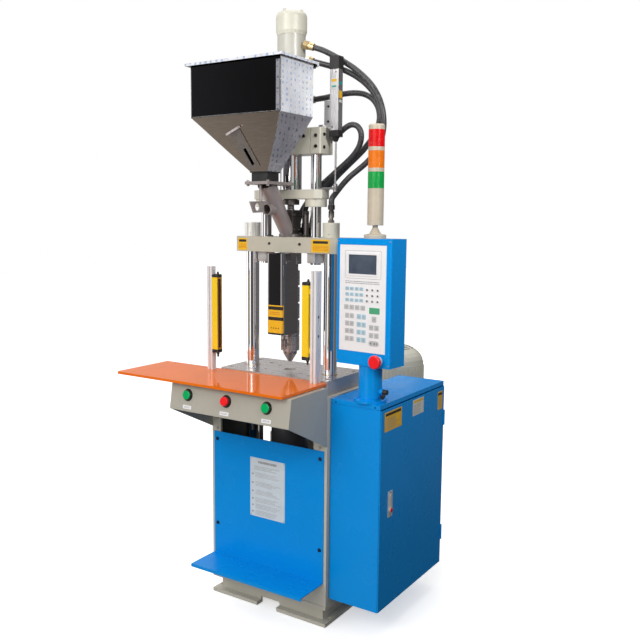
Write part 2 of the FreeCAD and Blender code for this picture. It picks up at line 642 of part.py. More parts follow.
# lid hinges: a leaf and a pin on the hopper's rear wall, two knuckles on the lid
hinge_leaf, hinge_knuckles, hinge_room, hinge_bore = [], [], [], []
for k, x in (("left", -150), ("right", 105)):
    hinge_leaf += [box("lid_leaf_" + k, x - 9, x + 9, -67, -53, 1742.5, 1745),
                   cyl("lid_leaf_roll_" + k, x - 9, -53, 1746, 3.5, 18, "x"),
                   cyl("lid_pin_" + k, x - 22, -53, 1746, 1.4, 44, "x")]
    hinge_room.append(cyl("lid_roll_room_" + k, x - 9.4, -53, 1746, 4.2, 18.8, "x"))
    hinge_bore.append(cyl("lid_pin_bore_" + k, x - 23, -53, 1746, 1.5, 46, "x"))
    for i, a in enumerate((x - 21, x + 9.4)):
        hinge_knuckles.append(cyl("lid_knuckle_%s_%d" % (k, i), a, -53, 1746, 3.5, 11.6, "x"))
sheet_hopper = cut("hopper_sheet_metal", fuse("hopper_solid", hop, stay_low, *hinge_leaf), hop_in, sight_slot)
node("hopper", sheet_hopper)

lid_out = pad("lid_outside", "XY_Plane", rect(-228, 140, -251, -53), 1746, 14)
lid_void = pad("lid_inside", "XY_Plane", rect(-226, 138, -249, -55), 1740, 18)
lid_pan = cut("hopper_lid_pan", lid_out, lid_void, box("lid_cylinder_notch", -58, 58, -62, -40, 1740, 1770),
              box("lid_skirt_trim", -229, 141, -252, -64, 1745, 1752))
node("hopper_lid", cut("hopper_lid_hinged", fuse("hopper_lid_knuckled", lid_pan, *hinge_knuckles), *hinge_room, *hinge_bore))

# sight strip: a thin slide that lies on the front slope and covers the slot
strip = on_strip("sight_strip_blade", 0, 0, 0, 42, 133, 2.5)
tab = on_strip("sight_strip_tab", -6, 0, 2.5, 54, 6, 12)
strip_slot = on_strip("sight_strip_slot", 15, 66, -5, 12, 55, 20)
node("sight_strip", cut("sight_strip_slide", fuse("sight_strip_bent", strip, tab), strip_slot))

# ---------------------------------------------------------------- crosshead
cross = pad("crosshead_plate", "XY_Plane",
            [(-134, -20), (-116, -38), (116, -38), (134, -20), (134, 20), (116, 38), (-116, 38), (-134, 20)],
            "cross_low", "cross_top-cross_low",
            holes=[("-rod_spacing", 0, "rod_radius+run_gap"), ("rod_spacing", 0, "rod_radius+run_gap"), (0, 0, 22.5)])
bosses = [ring("crosshead_boss_" + k, x, 0, 1325, 35, "rod_radius+run_gap", "cross_low-1325+4")
          for k, x in (("left", "-rod_spacing"), ("right", "rod_spacing"))]
node("crosshead", fuse("crosshead_casting", cross, *bosses))
node("piston_rod", turned("piston_rod_turned", [
    (23, "cross_top"), ("ram_radius", "cross_top"), ("ram_radius", 1600), ("cylinder_bore-run_gap", 1600),
    ("cylinder_bore-run_gap", 1632), (20, 1632), (20, 1660), (15, 1660), (15, 1492), (23, 1492)]))

# rod and arm of the stroke sensor, carried by the crosshead
arm = box("sensor_arm", "rod_spacing+20", 176, -8, 6, "cross_top", "cross_top+7")
arm_foot = box("sensor_arm_foot", 118, 133, -14, 12, "cross_top", "cross_top+5")
arm_end = cyl("sensor_arm_end", 170, -1, 1372, 7, 24)
rod = cyl("sensor_rod", 170, -1, 1385, 3, 190)
node("transducer_rod", fuse("transducer_rod_assembly", arm, arm_foot, arm_end, rod))

# ---------------------------------------------------------------- screw and its drive
node("coupling", turned("coupling_turned", [
    (0, 1318), (11, 1318), (11, 1332), (28, 1332), (28, 1348), (22, 1348), (22, 1480), (14, 1480), (14, 1345), (0, 1345)]))
node("screw", turned("screw_turned", [
    (0, 832 + 24), (9, 880), ("screw_radius", 884), ("screw_radius", 1318), (0, 1318)]))
node("drive_shaft", fuse("drive_shaft_solid", cyl("drive_shaft_rod", 0, 0, 1449, "shaft_radius", 441),
                         cyl("drive_rotor", 0, 0, 1882, 34, 30)))

# ---------------------------------------------------------------- top plate, cylinder, motor
top_block = pad("top_block", "XY_Plane", rect("-block_half", "block_half", "-block_depth", "block_depth"),
                "block_low", "block_top-block_low",
                holes=[("-rod_spacing", 0, "rod_radius"), ("rod_spacing", 0, "rod_radius"), (0, 0, "ram_radius+run_gap")])
slits = box("top_block_slit", 97, 99, "-block_depth-1", -14, 1480, 1580)
node("top_plate", cut("top_plate_clamped", soften("top_block_edges", top_block, along("z", lambda x, y, z: abs(x) > 130), 5), slits))
node("injection_cylinder", turned("injection_cylinder_turned", [
    ("ram_radius+run_gap", "block_top"), ("cylinder_radius+7", "block_top"), ("cylinder_radius+7", "block_top+14"),
    ("cylinder_radius", "block_top+18"), ("cylinder_radius", "cylinder_top"), (14, "cylinder_top"), (14, "cylinder_top-12"),
    ("cylinder_bore", "cylinder_top-12"), ("cylinder_bore", "block_top+20"), ("ram_radius+run_gap", "block_top+20")]))
motor = turned("hydromotor_turned", [
    (0, "motor_top"), (38, "motor_top"), (45, "motor_top-3"), (48.5, "motor_top-9"), ("motor_radius", "motor_top-17"),
    ("motor_radius", 1874), (46.5, 1867), ("cylinder_radius+0.5", "cylinder_top"), (36, "cylinder_top"), (36, 1926), (0, 1926)])
knobs = [hexagon("motor_knob_%d" % i, 32 * math.cos(a), 32 * math.sin(a), 1933, 6, 8)
         for i, a in enumerate(math.radians(d) for d in (-100, 20, 140))]
node("hydromotor", fuse("hydromotor_casting", motor, *knobs))

# ---------------------------------------------------------------- stroke sensor
body = box("sensor_body", 155, 185, -14, 12, 1560, 1744)
grooves = [box("sensor_groove_%d" % i, 162 + 9 * i, 166 + 9 * i, -15, -11.5, 1550, 1750) for i in range(2)]
channel = cyl("sensor_channel", 170, -1, 1500, 3.6, 230)
cap_high = box("sensor_cap_high", 153.5, 186.5, -15.5, 13.5, 1744, 1783)
cap_low = box("sensor_cap_low", 153.5, 186.5, -15.5, 13.5, 1540, 1560)
tip = cone("sensor_tip", 170, -1, 1526, 6, 12, 14)
bracket = box("sensor_bracket", 131, 155, -8, -2, "block_top", 1652)
bracket_foot = box("sensor_bracket_foot", 118, 133, -20, 10, "block_top", 1578)
node("transducer", cut("transducer_assembly", fuse("transducer_solid", body, cap_high, cap_low, tip, bracket, bracket_foot),
                       channel, *grooves))

# ---------------------------------------------------------------- hoses
# each hose is straight runs joined by tangent arcs


def hose(label, points):
    pts = [Vector(*p) for p in points]
    edges, cursor, radii = [], pts[0], []
    for i in range(1, len(pts) - 1):
        a, b = pts[i - 1] - pts[i], pts[i + 1] - pts[i]
        short = min(a.Length, b.Length)
        half = (math.pi - a.getAngle(b)) / 2
        back = 0.45 * short
        radii.append(back / math.tan(half))
        a.normalize()
        b.normalize()
        p, q = pts[i] + a * back, pts[i] + b * back
        mid_dir = a + b
        mid_dir.normalize()
        centre = pts[i] + mid_dir * (radii[-1] / math.cos(half))
        middle = centre - mid_dir * radii[-1]
        edges.append(Part.LineSegment(cursor, p).toShape())
        edges.append(Part.Arc(p, middle, q).toShape())
        cursor = q
    edges.append(Part.LineSegment(cursor, pts[-1]).toShape())
    path = Part.Wire(edges)
    radius = float(sheet.get("hose_radius"))
    first = pts[1] - pts[0]
    ring_wire = Part.Wire([Part.makeCircle(radius, pts[0], first)])
    tube = path.makePipeShell([ring_wire], True, False)
    o = doc.addObject("Part::Feature", label + "_tube")
    o.Shape = tube
    turn = [round(v, 1) for v in radii]
    print(label, "radii", turn, "length", round(path.Length), "volume ratio",
          round(tube.Volume / (math.pi * radius ** 2 * path.Length), 4))
    return node(label, o)


HOSES = {
    "hose_upper": [(84, 2, 1820), (110, 9, 1811), (138, 21, 1796), (170, 34, 1776), (204, 41, 1754), (237, 46, 1727),
                   (270, 46, 1695), (293, 50, 1657), (306, 53, 1614), (308, 56, 1570), (298, 59, 1527), (275, 61, 1490),
                   (246, 62, 1463), (216, 60, 1441), (191, 53, 1421), (173, 41, 1398), (161, 24, 1373), (156, 0, 1350),
                   (156, 0, 1330)],
    "hose_second": [(76, 12, 1779), (103, 16, 1771), (135, 24, 1761), (170, 38, 1750), (203, 53, 1732), (233, 66, 1709),
                    (259, 74, 1680), (276, 78, 1646), (282, 80, 1609), (276, 80, 1574), (257, 79, 1541), (231, 77, 1509),
                    (199, 75, 1480), (164, 73, 1452), (127, 73, 1427), (90, 74, 1404), (55, 76, 1380), (24, 77, 1354), (1, 75, 1325),
                    (-12, 70, 1297), (-16, 66, 1272)],
    "hose_third": [(76, 22, 1664), (102, 30, 1667), (131, 42, 1673), (161, 56, 1679), (193, 70, 1682), (222, 83, 1678),
                   (247, 92, 1663), (264, 97, 1638), (270, 99, 1608), (264, 100, 1576), (246, 100, 1544), (219, 99, 1514),
                   (188, 97, 1484), (154, 95, 1455), (118, 96, 1426), (87, 95, 1395), (64, 89, 1362), (49, 79, 1329), (42, 70, 1299),
                   (40, 66, 1272)],
    "hose_lower": [(148, 26, 1545), (168, 28, 1557), (186, 30, 1571), (205, 32, 1580), (225, 34, 1576), (238, 36, 1559),
                   (239, 39, 1536), (229, 43, 1511), (209, 46, 1488), (184, 49, 1468), (156, 50, 1448), (128, 50, 1427),
                   (99, 50.5, 1406), (69, 51, 1385), (42, 52, 1360), (24, 54, 1330), (15, 59, 1300), (12, 66, 1272)],
}
for label, points in HOSES.items():
    hose(label, points)

# ports, ferrules and the manifold that the hoses end in
manifold = soften("manifold_block", box("manifold_blank", -34, 58, 50, 82, "head_top", 1258), along("z"), 3)
ports = []


def port(name, at, toward, length, r1=11.5, r2=11.5, hexed=True):
    """A threaded port and a ferrule that end square on the first face of a hose."""
    a, d = Vector(*at), Vector(*toward)
    d.normalize()
    turn = Rotation(Vector(0, 0, 1), d)
    b = a - d * length
    made = [cyl(name + "_ferrule", b.x, b.y, b.z, r1, length, turn=turn)]
    if hexed:
        c = a - d * (length * 0.98)
        made.append(hexagon(name + "_nut", c.x, c.y, c.z, 14, length * 0.45, turn=turn))
    return made


def first_dir(label, end=False):
    p = HOSES[label]
    a, b = (p[0], p[1]) if not end else (p[-1], p[-2])
    return a, tuple(b[i] - a[i] for i in range(3))


fit_parts = []
for label, end, length in (("hose_upper", False, 34), ("hose_second", False, 24), ("hose_third", False, 24), ("hose_lower", False, 9),
                           ("hose_second", True, 18), ("hose_third", True, 18), ("hose_lower", True, 18)):
    at, toward = first_dir(label, end)
    made = port("port_%s_%s" % (label[5:], "end" if end else "start"), at, toward, length)
    fit_parts.append(fuse("fitting_%s_%s" % (label[5:], "end" if end else "start"), *made))
top_nipple = fuse("fitting_cap", cyl("cap_nipple", "bar_spacing", 0, "cap_top-6", 6.5, 24), cyl("cap_ferrule", "bar_spacing", 0, 1291, 9, 20),
                  cyl("cap_collar", "bar_spacing", 0, 1310, 7.5, 8), cyl("cap_swivel", "bar_spacing", 0, 1316, 11, 14),
                  hexagon("cap_nipple_nut", "bar_spacing", 0, "cap_top", 11, 8))
fit_solid = fuse("fitting_low_side", *[fit_parts[i] for i in (4, 5, 6)], manifold)
core = cyl("fitting_block_cut", 0, 0, 1480, "cylinder_radius", 400)
trimmed = [cut("fitting_trim_%d" % i, fit_parts[i], cyl("fitting_core_%d" % i, 0, 0, 1600, "cylinder_radius", 262)) for i in (0, 1, 2)]
doc.removeObject(core.Name)
elbow = cut("fitting_trim_block", fit_parts[3], box("fitting_block_core", "-block_half", "block_half", -60, 60, "block_low", "block_top"))
node("hose_fittings", group("hose_fitting_set", fit_solid, *trimmed, elbow, top_nipple))

# ---------------------------------------------------------------- light curtain
posts, bars_l = [], []
for k, x, y, hx, hy in (("left", -224.5, -136, 10.5, 10), ("right", 182.5, -127, 10.5, 15)):
    blank = box("post_blank_" + k, x - hx, x + hx, y - hy, y + hy, "table_top", 1130)
    slots = [box("post_slot_%s_a" % k, x - 3, x + 3, y - hy - 1, y - hy + 5, 780, 1140), box("post_slot_%s_b" % k, x - 3, x + 3, y + hy - 5, y + hy + 1, 780, 1140),
             box("post_slot_%s_c" % k, x - hx - 1, x - hx + 5, y - 3, y + 3, 780, 1140), box("post_slot_%s_d" % k, x + hx - 5, x + hx + 1, y - 3, y + 3, 780, 1140)]
    posts.append(cut("curtain_post_" + k, blank, *slots))
for k, x, y, z0, z1 in (("left", -201.5, -135, 846, 1103), ("right", 156, -135, 857, 1095)):
    bar = box("sensor_bar_" + k, x - 11.5, x + 11.5, y - 12, y + 12, z0, z1)
    inner = (x + 10, x + 12.5) if k == "left" else (x - 12.5, x - 10)
    lens_cut = box("sensor_lens_" + k, inner[0], inner[1], y - 7, y + 7, z0 + 14, z1 - 14)
    side = (-214, -212.5) if k == "left" else (167, 172)
    clip = [box("sensor_clip_%s_%d" % (k, i), side[0], side[1], y - 7, y + 7, z, z + 16) for i, z in enumerate((z0 + 20, z1 - 36))]
    bars_l.append(fuse("curtain_bar_" + k, cut("sensor_bar_cut_" + k, bar, lens_cut), *clip))
node("curtain_posts", group("curtain_post_pair", *posts))
node("curtain_bars", group("curtain_bar_pair", *bars_l))

# ---------------------------------------------------------------- cabinet
# folded and welded sheet cabinet, open on the right where the door closes it
cab = box("cabinet_blank", "cabinet_left", "cabinet_right-cabinet_sheet-0.4", "cabinet_front", "cabinet_back", "cabinet_low", "cabinet_top")
cab = soften("cabinet_rounded", cab, along("y", lambda x, y, z: x < 240 and z < 200), 6)
cab_in = box("cabinet_inside", "cabinet_left+cabinet_sheet", "cabinet_right+5", "cabinet_front+cabinet_sheet",
             "cabinet_back-cabinet_sheet", "cabinet_low+cabinet_sheet", "cabinet_top-14")
cab_lid = box("cabinet_lid_gap", "cabinet_left-1", "cabinet_right+1", "cabinet_front-1", "cabinet_front+1.2", "cabinet_top-16", "cabinet_top-14")
rail = box("cabinet_rail_low", "cabinet_left+20", "cabinet_right-20", "frame_back+20", "frame_back+50", "cabinet_low-23", "cabinet_low")
hang = [box("cabinet_hanger_%d" % i, "frame_half", "cabinet_left", y, y + 60, 300 + 250 * j, 340 + 250 * j)
        for i, (y, j) in enumerate(((0, 0), (60, 1)))]
# door hinges: the middle knuckle and pin are welded to the cabinet, the outer two to the door
cab_roll, cab_room, door_roll, door_room, door_bore = [], [], [], [], []
for i, z in enumerate((202, 612)):
    cab_roll += [cyl("cabinet_knuckle_%d" % i, "cabinet_right", "cabinet_back-1", z - 11.7, 4.5, 23.4),
                 cyl("cabinet_pin_%d" % i, "cabinet_right", "cabinet_back-1", z - 25, 1.5, 50)]
    door_room.append(cyl("door_knuckle_room_%d" % i, "cabinet_right", "cabinet_back-1", z - 12.1, 5.2, 24.2))
    door_bore.append(cyl("door_pin_bore_%d" % i, "cabinet_right", "cabinet_back-1", z - 27, 1.6, 54))
    for j, a in enumerate((z - 26, z + 12.1)):
        door_roll.append(cyl("door_knuckle_%d_%d" % (i, j), "cabinet_right", "cabinet_back-1", a, 4.5, 13.9))
        cab_room.append(cyl("cabinet_knuckle_room_%d_%d" % (i, j), "cabinet_right", "cabinet_back-1", a - 0.4, 5.2, 14.7))
cab_cut = cut("cabinet_sheet_metal", fuse("cabinet_solid", cab, *hang), cab_in, cab_lid, *cab_room,
              cyl("cabinet_cable_hole", "post_x", "post_y", "cabinet_top-30", 14, 60))
node("cabinet", fuse("cabinet_with_hinges", cab_cut, *cab_roll))

# door on the right side, hinged on its rear edge
door = box("door_blank", "cabinet_right-cabinet_sheet", "cabinet_right", "cabinet_front+1", "cabinet_back-1", "cabinet_low+1", "cabinet_top-17")
door_rib = box("door_rib", "cabinet_right-cabinet_sheet-9", "cabinet_right-cabinet_sheet", "cabinet_front+16", "cabinet_back-34",
               "cabinet_low+60", "cabinet_low+90")
door_rib_two = box("door_rib_high", "cabinet_right-cabinet_sheet-9", "cabinet_right-cabinet_sheet", "cabinet_front+16", "cabinet_back-34",
                   "cabinet_top-90", "cabinet_top-60")
lock_plate = box("door_lock_plate", "cabinet_right", "cabinet_right+2", -61, -33, 380, 461)
door_flat = cut("door_notched", fuse("door_solid", door, door_rib, door_rib_two, lock_plate), *door_room)
node("cabinet_door", cut("cabinet_door_drilled", fuse("door_with_hinges", door_flat, *door_roll), *door_bore,
     cyl("door_spindle_hole", "cabinet_right-20", -47, 402, 8.3, 40, "x")))
spindle = cyl("handle_spindle", "cabinet_right-18", -47, 402, 8, 23, "x")
lever = box("handle_lever", "cabinet_right+2.4", "cabinet_right+5.6", -54, -40, 392, 453)
lever = soften("handle_lever_round", lever, along("x"), 6)
lever_hub = cyl("handle_hub", "cabinet_right+2.3", -47, 402, 10, 4.3, "x")
cam = box("handle_cam", "cabinet_right-18", "cabinet_right-15", -88, -40, 394, 410)
node("door_handle", fuse("door_handle_set", spindle, lever, lever_hub, cam))

# ---------------------------------------------------------------- control box
# blue post on the cabinet, with a flange, that the control box turns on
neck = turned("control_neck_turned", [
    (14, "cabinet_top"), (50, "cabinet_top"), (50, "cabinet_top+8"), ("post_radius", "cabinet_top+10"),
    ("post_radius", "box_low-1"), (24, "box_low-1"), (24, "box_low+16"), (14, "box_low+16")], x="post_x", y="post_y")
neck_bolts = [hexagon("neck_bolt_%d" % i, 346 + 43 * math.cos(a), -72 + 43 * math.sin(a), 746, 5.5, 6)
              for i, a in enumerate(math.radians(d) for d in (45, 135, 225, 315))]
boss = cyl("clamp_boss", 346 + 34, -72, 772, 9, 10, "x")
boss_hole = cyl("clamp_boss_hole", 346 + 30, -72, 772, 4.3, 30, "x")
node("control_neck", cut("control_neck_set", fuse("control_neck_solid", neck, boss, *neck_bolts), boss_hole))
lever_hub = cyl("clamp_lever_hub", 346 + 44.3, -72, 772, 8, 14, "x")
lever_pin = cyl("clamp_lever_pin", 346 + 36, -72, 772, 4.2, 12, "x")
lean_out = Rotation(Vector(0, 0, 1), Vector(0.1, -0.9, -0.42))
arm_dir = lean_out.multVec(Vector(0, 0, 1))
lever_arm = cone("clamp_lever_arm", 346 + 52, -72, 772, 5, 3.5, 22, turn=lean_out)
lever_knob = cyl("clamp_lever_knob", 346 + 52 + arm_dir.x * 17, -72 + arm_dir.y * 17, 772 + arm_dir.z * 17, 6, 13, turn=lean_out)
node("clamp_lever", fuse("clamp_lever_set", lever_hub, lever_pin, lever_arm, lever_knob))

yaw = Rotation(Vector(0, 0, 1), names["box_yaw"])


def yawed(obj):
    """Turn a piece drawn square to the box about the box's front left corner."""
    obj.Placement = Placement(Vector(239, -101, 0), yaw)
    return obj


case = box("case_blank", 0, "box_width", 0, "box_depth", "box_low", "box_top")
case = soften("case_rounded", case, along("z"), 5)
case_in = box("case_inside", "box_sheet", "box_width-box_sheet", "box_sheet+3", "box_depth-box_sheet", "box_low+box_sheet", "box_top-box_sheet")
window = box("case_window", 22, 168, -5, 10, 902, 1202)
recess = box("case_recess", 12, 178, -5, 3, 893, 1212)
estop_hole = cyl("case_estop_hole", 156, -5, 872, 11, 30, "y")
neck_hole = cyl("case_neck_hole", 104.26, 37.67, "box_low-5", 24.08, 20)
lamp_hole = cyl("case_lamp_hole", 108, 44, "box_top-10", 10, 30)
case_cut = cut("control_box_case", case, case_in, window, recess, estop_hole, neck_hole, lamp_hole)
membrane = box("membrane_sheet", 12.5, 177.5, 0.5, 3, 893.5, 1211.5)
board = box("display_module", 40, 150, 3, 20, 1110, 1190)
node("control_panel", yawed(fuse("control_panel_set", membrane, board)))
collar = ring("estop_ring", 156, -7, 872, 14, 9.05, 7, "y")
collar_body = ring("estop_barrel", 156, 0, 872, 10.9, 9.05, 34, "y")
estop_cap = cyl("estop_mushroom", 156, -27, 872, 20, 10, "y")
estop_cap = soften("estop_round", estop_cap, lambda e: e.CenterOfMass.y < -26.9, 4)
estop_stem = cyl("estop_stem", 156, -18, 872, 9, 48, "y")
node("estop_button", yawed(fuse("estop_push_button", estop_cap, estop_stem)))
node("control_box", yawed(group("control_box_set", case_cut, fuse("estop_collar_set", collar, collar_body))))

# ---------------------------------------------------------------- signal tower
tower = turned("tower_stem", [
    (0, "box_top"), (33, "box_top"), (33, "box_top+10"), (31, "box_top+12"), (18, "box_top+14"), (10, "box_top+28"), (8, "box_top+31"),
    (8, 1269), (23, 1269), (24, 1270), (24, 1377), (19, 1377), (19, 1385), (6, 1385), (6, 1425), (24, 1425), (24, 1436), (19, 1436),
    (19, 1444), (6, 1444), (6, 1486), (24, 1486), (24, 1497), (19, 1497), (19, 1505), (6, 1505), (6, 1546.5), (24, 1546.5), (24, 1558),
    (21, 1562), (0, 1562)], x=350, y=-66)
node("tower_body", tower)
lenses = []
for i, (z0, z1) in enumerate(((1377, 1425), (1436, 1486), (1497, 1546.5))):
    lens = turned("tower_lens_%d" % i, [(19.3, z0), (24, z0), (24, z1), (8, z1), (8, z1 - 2.5), (21.5, z1 - 2.5), (21.5, z0 + 10), (19.3, z0 + 8)], x=350, y=-66)
    lenses.append(lens)
node("tower_lenses", group("tower_lens_set", *lenses))

# ---------------------------------------------------------------- oil tank and pump motor
tank = box("tank_blank", "-tank_half", "tank_half", "tank_front", "base_back-10", "tank_low", "tank_top")
tank_in = box("tank_inside", "-tank_half+5", "tank_half-5", "tank_front+5", "base_back-15", "tank_low+5", "tank_top-8")
node("oil_tank", cut("oil_tank_welded", tank, tank_in,
     cyl("tank_pump_hole", "pump_x-60", "pump_y-70", "tank_top-20", 40, 40)))
dome = [(98.5 * math.cos(math.radians(a)), 757 + 67 * math.sin(math.radians(a))) for a in (0, 12, 24, 36, 48, 60, 72, 82)]
dome_in = [(94.5 * math.cos(math.radians(a)), 757 + 63 * math.sin(math.radians(a))) for a in (82, 72, 60, 48, 36, 24, 12, 0)]
housing = turned("motor_shell", [
    (12.05, 500), (88, 500), (88, 514), (74, 518), (74, 540), (100, 548), (100, 753), (98.5, 754.5)] + dome + [(0, 824),
    (0, 820)] + dome_in + [(94.5, 746), (80, 735), (80, 560), (66, 556), (66, 524), (12.05, 514)], x=142, y=500)
node("motor_housing", housing)
node("motor_rotor", turned("motor_rotor_turned", [
    (0, 504), (12, 504), (12, 575), (74, 580), (74, 715), (12, 722), (12, 752), (70, 757), (70, 786), (0, 786)], x=142, y=500))

# ---------------------------------------------------------------- check and write
doc.recompute()
bad = []
for o in doc.Objects:
    if "Invalid" in o.State or "Error" in o.State:
        bad.append((o.Name, list(o.State)))
for o in NODES:
    if o.Shape.isNull() or not o.Shape.isValid() or o.Shape.Volume <= 0:
        bad.append((o.Label, "shape"))
if bad:
    raise RuntimeError("failed objects: %s" % bad)
total = 0.0
for o in NODES:
    o.Shape.exportStep("parts/%s.step" % o.Label)
    total += o.Shape.Volume
    bb = o.Shape.BoundBox
    print("%-20s solids %d vol %.0f  x %.0f..%.0f y %.0f..%.0f z %.0f..%.0f" % (
        o.Label, len(o.Shape.Solids), o.Shape.Volume, bb.XMin, bb.XMax, bb.YMin, bb.YMax, bb.ZMin, bb.ZMax))
print("nodes", len(NODES), "sheet cells", cell_row[0], "solid volume", round(total))
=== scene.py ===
"""Looks of the vertical injection moulding machine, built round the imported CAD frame."""

import math
import random

import bmesh
import bpy
from mathutils import Matrix, Vector


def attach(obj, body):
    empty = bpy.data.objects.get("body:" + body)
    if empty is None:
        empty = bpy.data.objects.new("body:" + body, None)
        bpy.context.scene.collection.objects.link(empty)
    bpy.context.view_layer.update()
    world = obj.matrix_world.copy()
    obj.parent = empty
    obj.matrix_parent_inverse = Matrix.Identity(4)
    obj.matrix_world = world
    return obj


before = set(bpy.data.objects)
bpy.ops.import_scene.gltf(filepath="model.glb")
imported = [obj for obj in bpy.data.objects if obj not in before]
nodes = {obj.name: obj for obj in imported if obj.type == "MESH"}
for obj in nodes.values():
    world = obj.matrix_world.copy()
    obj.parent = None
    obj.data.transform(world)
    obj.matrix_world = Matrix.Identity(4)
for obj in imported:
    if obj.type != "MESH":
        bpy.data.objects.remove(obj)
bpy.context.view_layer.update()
X, Y, Z = Vector((1, 0, 0)), Vector((0, 1, 0)), Vector((0, 0, 1))


# ------------------------------------------------------------------ materials
def blank(name):
    m = bpy.data.materials.new(name)
    m.use_nodes = True
    t = m.node_tree
    t.nodes.clear()
    out = t.nodes.new("ShaderNodeOutputMaterial")
    s = t.nodes.new("ShaderNodeBsdfPrincipled")
    t.links.new(s.outputs["BSDF"], out.inputs["Surface"])
    where = t.nodes.new("ShaderNodeTexCoord").outputs["Object"]
    return m, t, s, where


def noise(t, where, scale, detail=3.0, rough=0.5, stretch=None):
    if stretch:
        mp = t.nodes.new("ShaderNodeMapping")
        mp.inputs["Scale"].default_value = stretch
        t.links.new(where, mp.inputs["Vector"])
        where = mp.outputs["Vector"]
    n = t.nodes.new("ShaderNodeTexNoise")
    n.inputs["Scale"].default_value = scale
    n.inputs["Detail"].default_value = detail
    n.inputs["Roughness"].default_value = rough
    t.links.new(where, n.inputs["Vector"])
    return n.outputs["Fac"]


def ramp(t, fac, stops, kind="LINEAR"):
    r = t.nodes.new("ShaderNodeValToRGB")
    r.color_ramp.interpolation = kind
    els = r.color_ramp.elements
    while len(els) < len(stops):
        els.new(0.5)
    for e, (p, c) in zip(els, stops):
        e.position = p
        e.color = (c[0], c[1], c[2], 1.0)
    t.links.new(fac, r.inputs["Fac"])
    return r.outputs["Color"]


def span(t, fac, lo, hi, a=0.3, b=0.7):
    r = t.nodes.new("ShaderNodeMapRange")
    r.inputs["From Min"].default_value = a
    r.inputs["From Max"].default_value = b
    r.inputs["To Min"].default_value = lo
    r.inputs["To Max"].default_value = hi
    t.links.new(fac, r.inputs["Value"])
    return r.outputs["Result"]


def maths(t, kind, a, b=None):
    m = t.nodes.new("ShaderNodeMath")
    m.operation = kind
    for i, v in enumerate((a, b)):
        if v is None:
            continue
        if isinstance(v, (int, float)):
            m.inputs[i].default_value = v
        else:
            t.links.new(v, m.inputs[i])
    return m.outputs["Value"]


def bump(t, s, height, strength, distance, edge=0.0):
    b = t.nodes.new("ShaderNodeBump")
    b.inputs["Strength"].default_value = strength
    b.inputs["Distance"].default_value = distance
    t.links.new(height, b.inputs["Height"])
    if edge:
        e = t.nodes.new("ShaderNodeBevel")
        e.samples = 4
        e.inputs["Radius"].default_value = edge
        t.links.new(e.outputs["Normal"], b.inputs["Normal"])
    t.links.new(b.outputs["Normal"], s.inputs["Normal"])


def shade(c, k):
    return tuple(min(1.0, v * k) for v in c)


def paint(name, colour, rough=(0.24, 0.38), coat=0.35, peel=0.12, vary=0.06, edge=0.0012, dust=None, spec=0.5):
    """Sprayed paint: slight orange peel, cloudy gloss, a little shade change and settled dust."""
    m, t, s, where = blank(name)
    wide = noise(t, where, 2.6, 4.0, 0.55)
    fine = noise(t, where, 55.0, 3.0, 0.6)
    both = maths(t, "ADD", maths(t, "MULTIPLY", wide, 0.7), maths(t, "MULTIPLY", fine, 0.3))
    stops = [(0.3, shade(colour, 1 - vary)), (0.5, colour), (0.7, shade(colour, 1 + vary))]
    if dust:
        stops.append((0.86, dust))
    t.links.new(ramp(t, both, stops), s.inputs["Base Color"])
    t.links.new(span(t, noise(t, where, 9.0, 4.0, 0.6), rough[0], rough[1]), s.inputs["Roughness"])
    s.inputs["Coat Weight"].default_value = coat
    s.inputs["Coat Roughness"].default_value = 0.12
    s.inputs["Specular IOR Level"].default_value = spec
    bump(t, s, noise(t, where, 420.0, 2.0, 0.5), peel, 0.0004, edge)
    return m


def metal(name, colour, rough, grain=(1, 1, 1), scale=60.0, depth=0.05, vary=0.08, edge=0.0, solid=1.0):
    """Bare metal with a lay in one direction: streaked roughness and colour, and a faint scratch relief."""
    m, t, s, where = blank(name)
    streak = noise(t, where, scale, 4.0, 0.6, grain)
    cloud = noise(t, where, 4.0, 3.0, 0.5)
    both = maths(t, "ADD", maths(t, "MULTIPLY", streak, 0.6), maths(t, "MULTIPLY", cloud, 0.4))
    t.links.new(ramp(t, both, [(0.3, shade(colour, 1 - vary)), (0.7, shade(colour, 1 + vary))]), s.inputs["Base Color"])
    t.links.new(span(t, streak, rough[0], rough[1]), s.inputs["Roughness"])
    s.inputs["Metallic"].default_value = solid
    bump(t, s, streak, depth, 0.0003, edge)
    return m


def plastic(name, colour, rough=(0.35, 0.5), grain=300.0, depth=0.08, vary=0.05, coat=0.0, sub=0.0, edge=0.0006):
    """Moulded plastic or rubber with a fine moulded texture."""
    m, t, s, where = blank(name)
    n = noise(t, where, 30.0, 3.0, 0.6)
    t.links.new(ramp(t, n, [(0.35, shade(colour, 1 - vary)), (0.65, shade(colour, 1 + vary))]), s.inputs["Base Color"])
    t.links.new(span(t, noise(t, where, 22.0), rough[0], rough[1]), s.inputs["Roughness"])
    s.inputs["Coat Weight"].default_value = coat
    if sub:
        s.inputs["Subsurface Weight"].default_value = sub
        s.inputs["Subsurface Scale"].default_value = 0.01
    bump(t, s, noise(t, where, grain, 2.0), depth, 0.0003, edge)
    return m


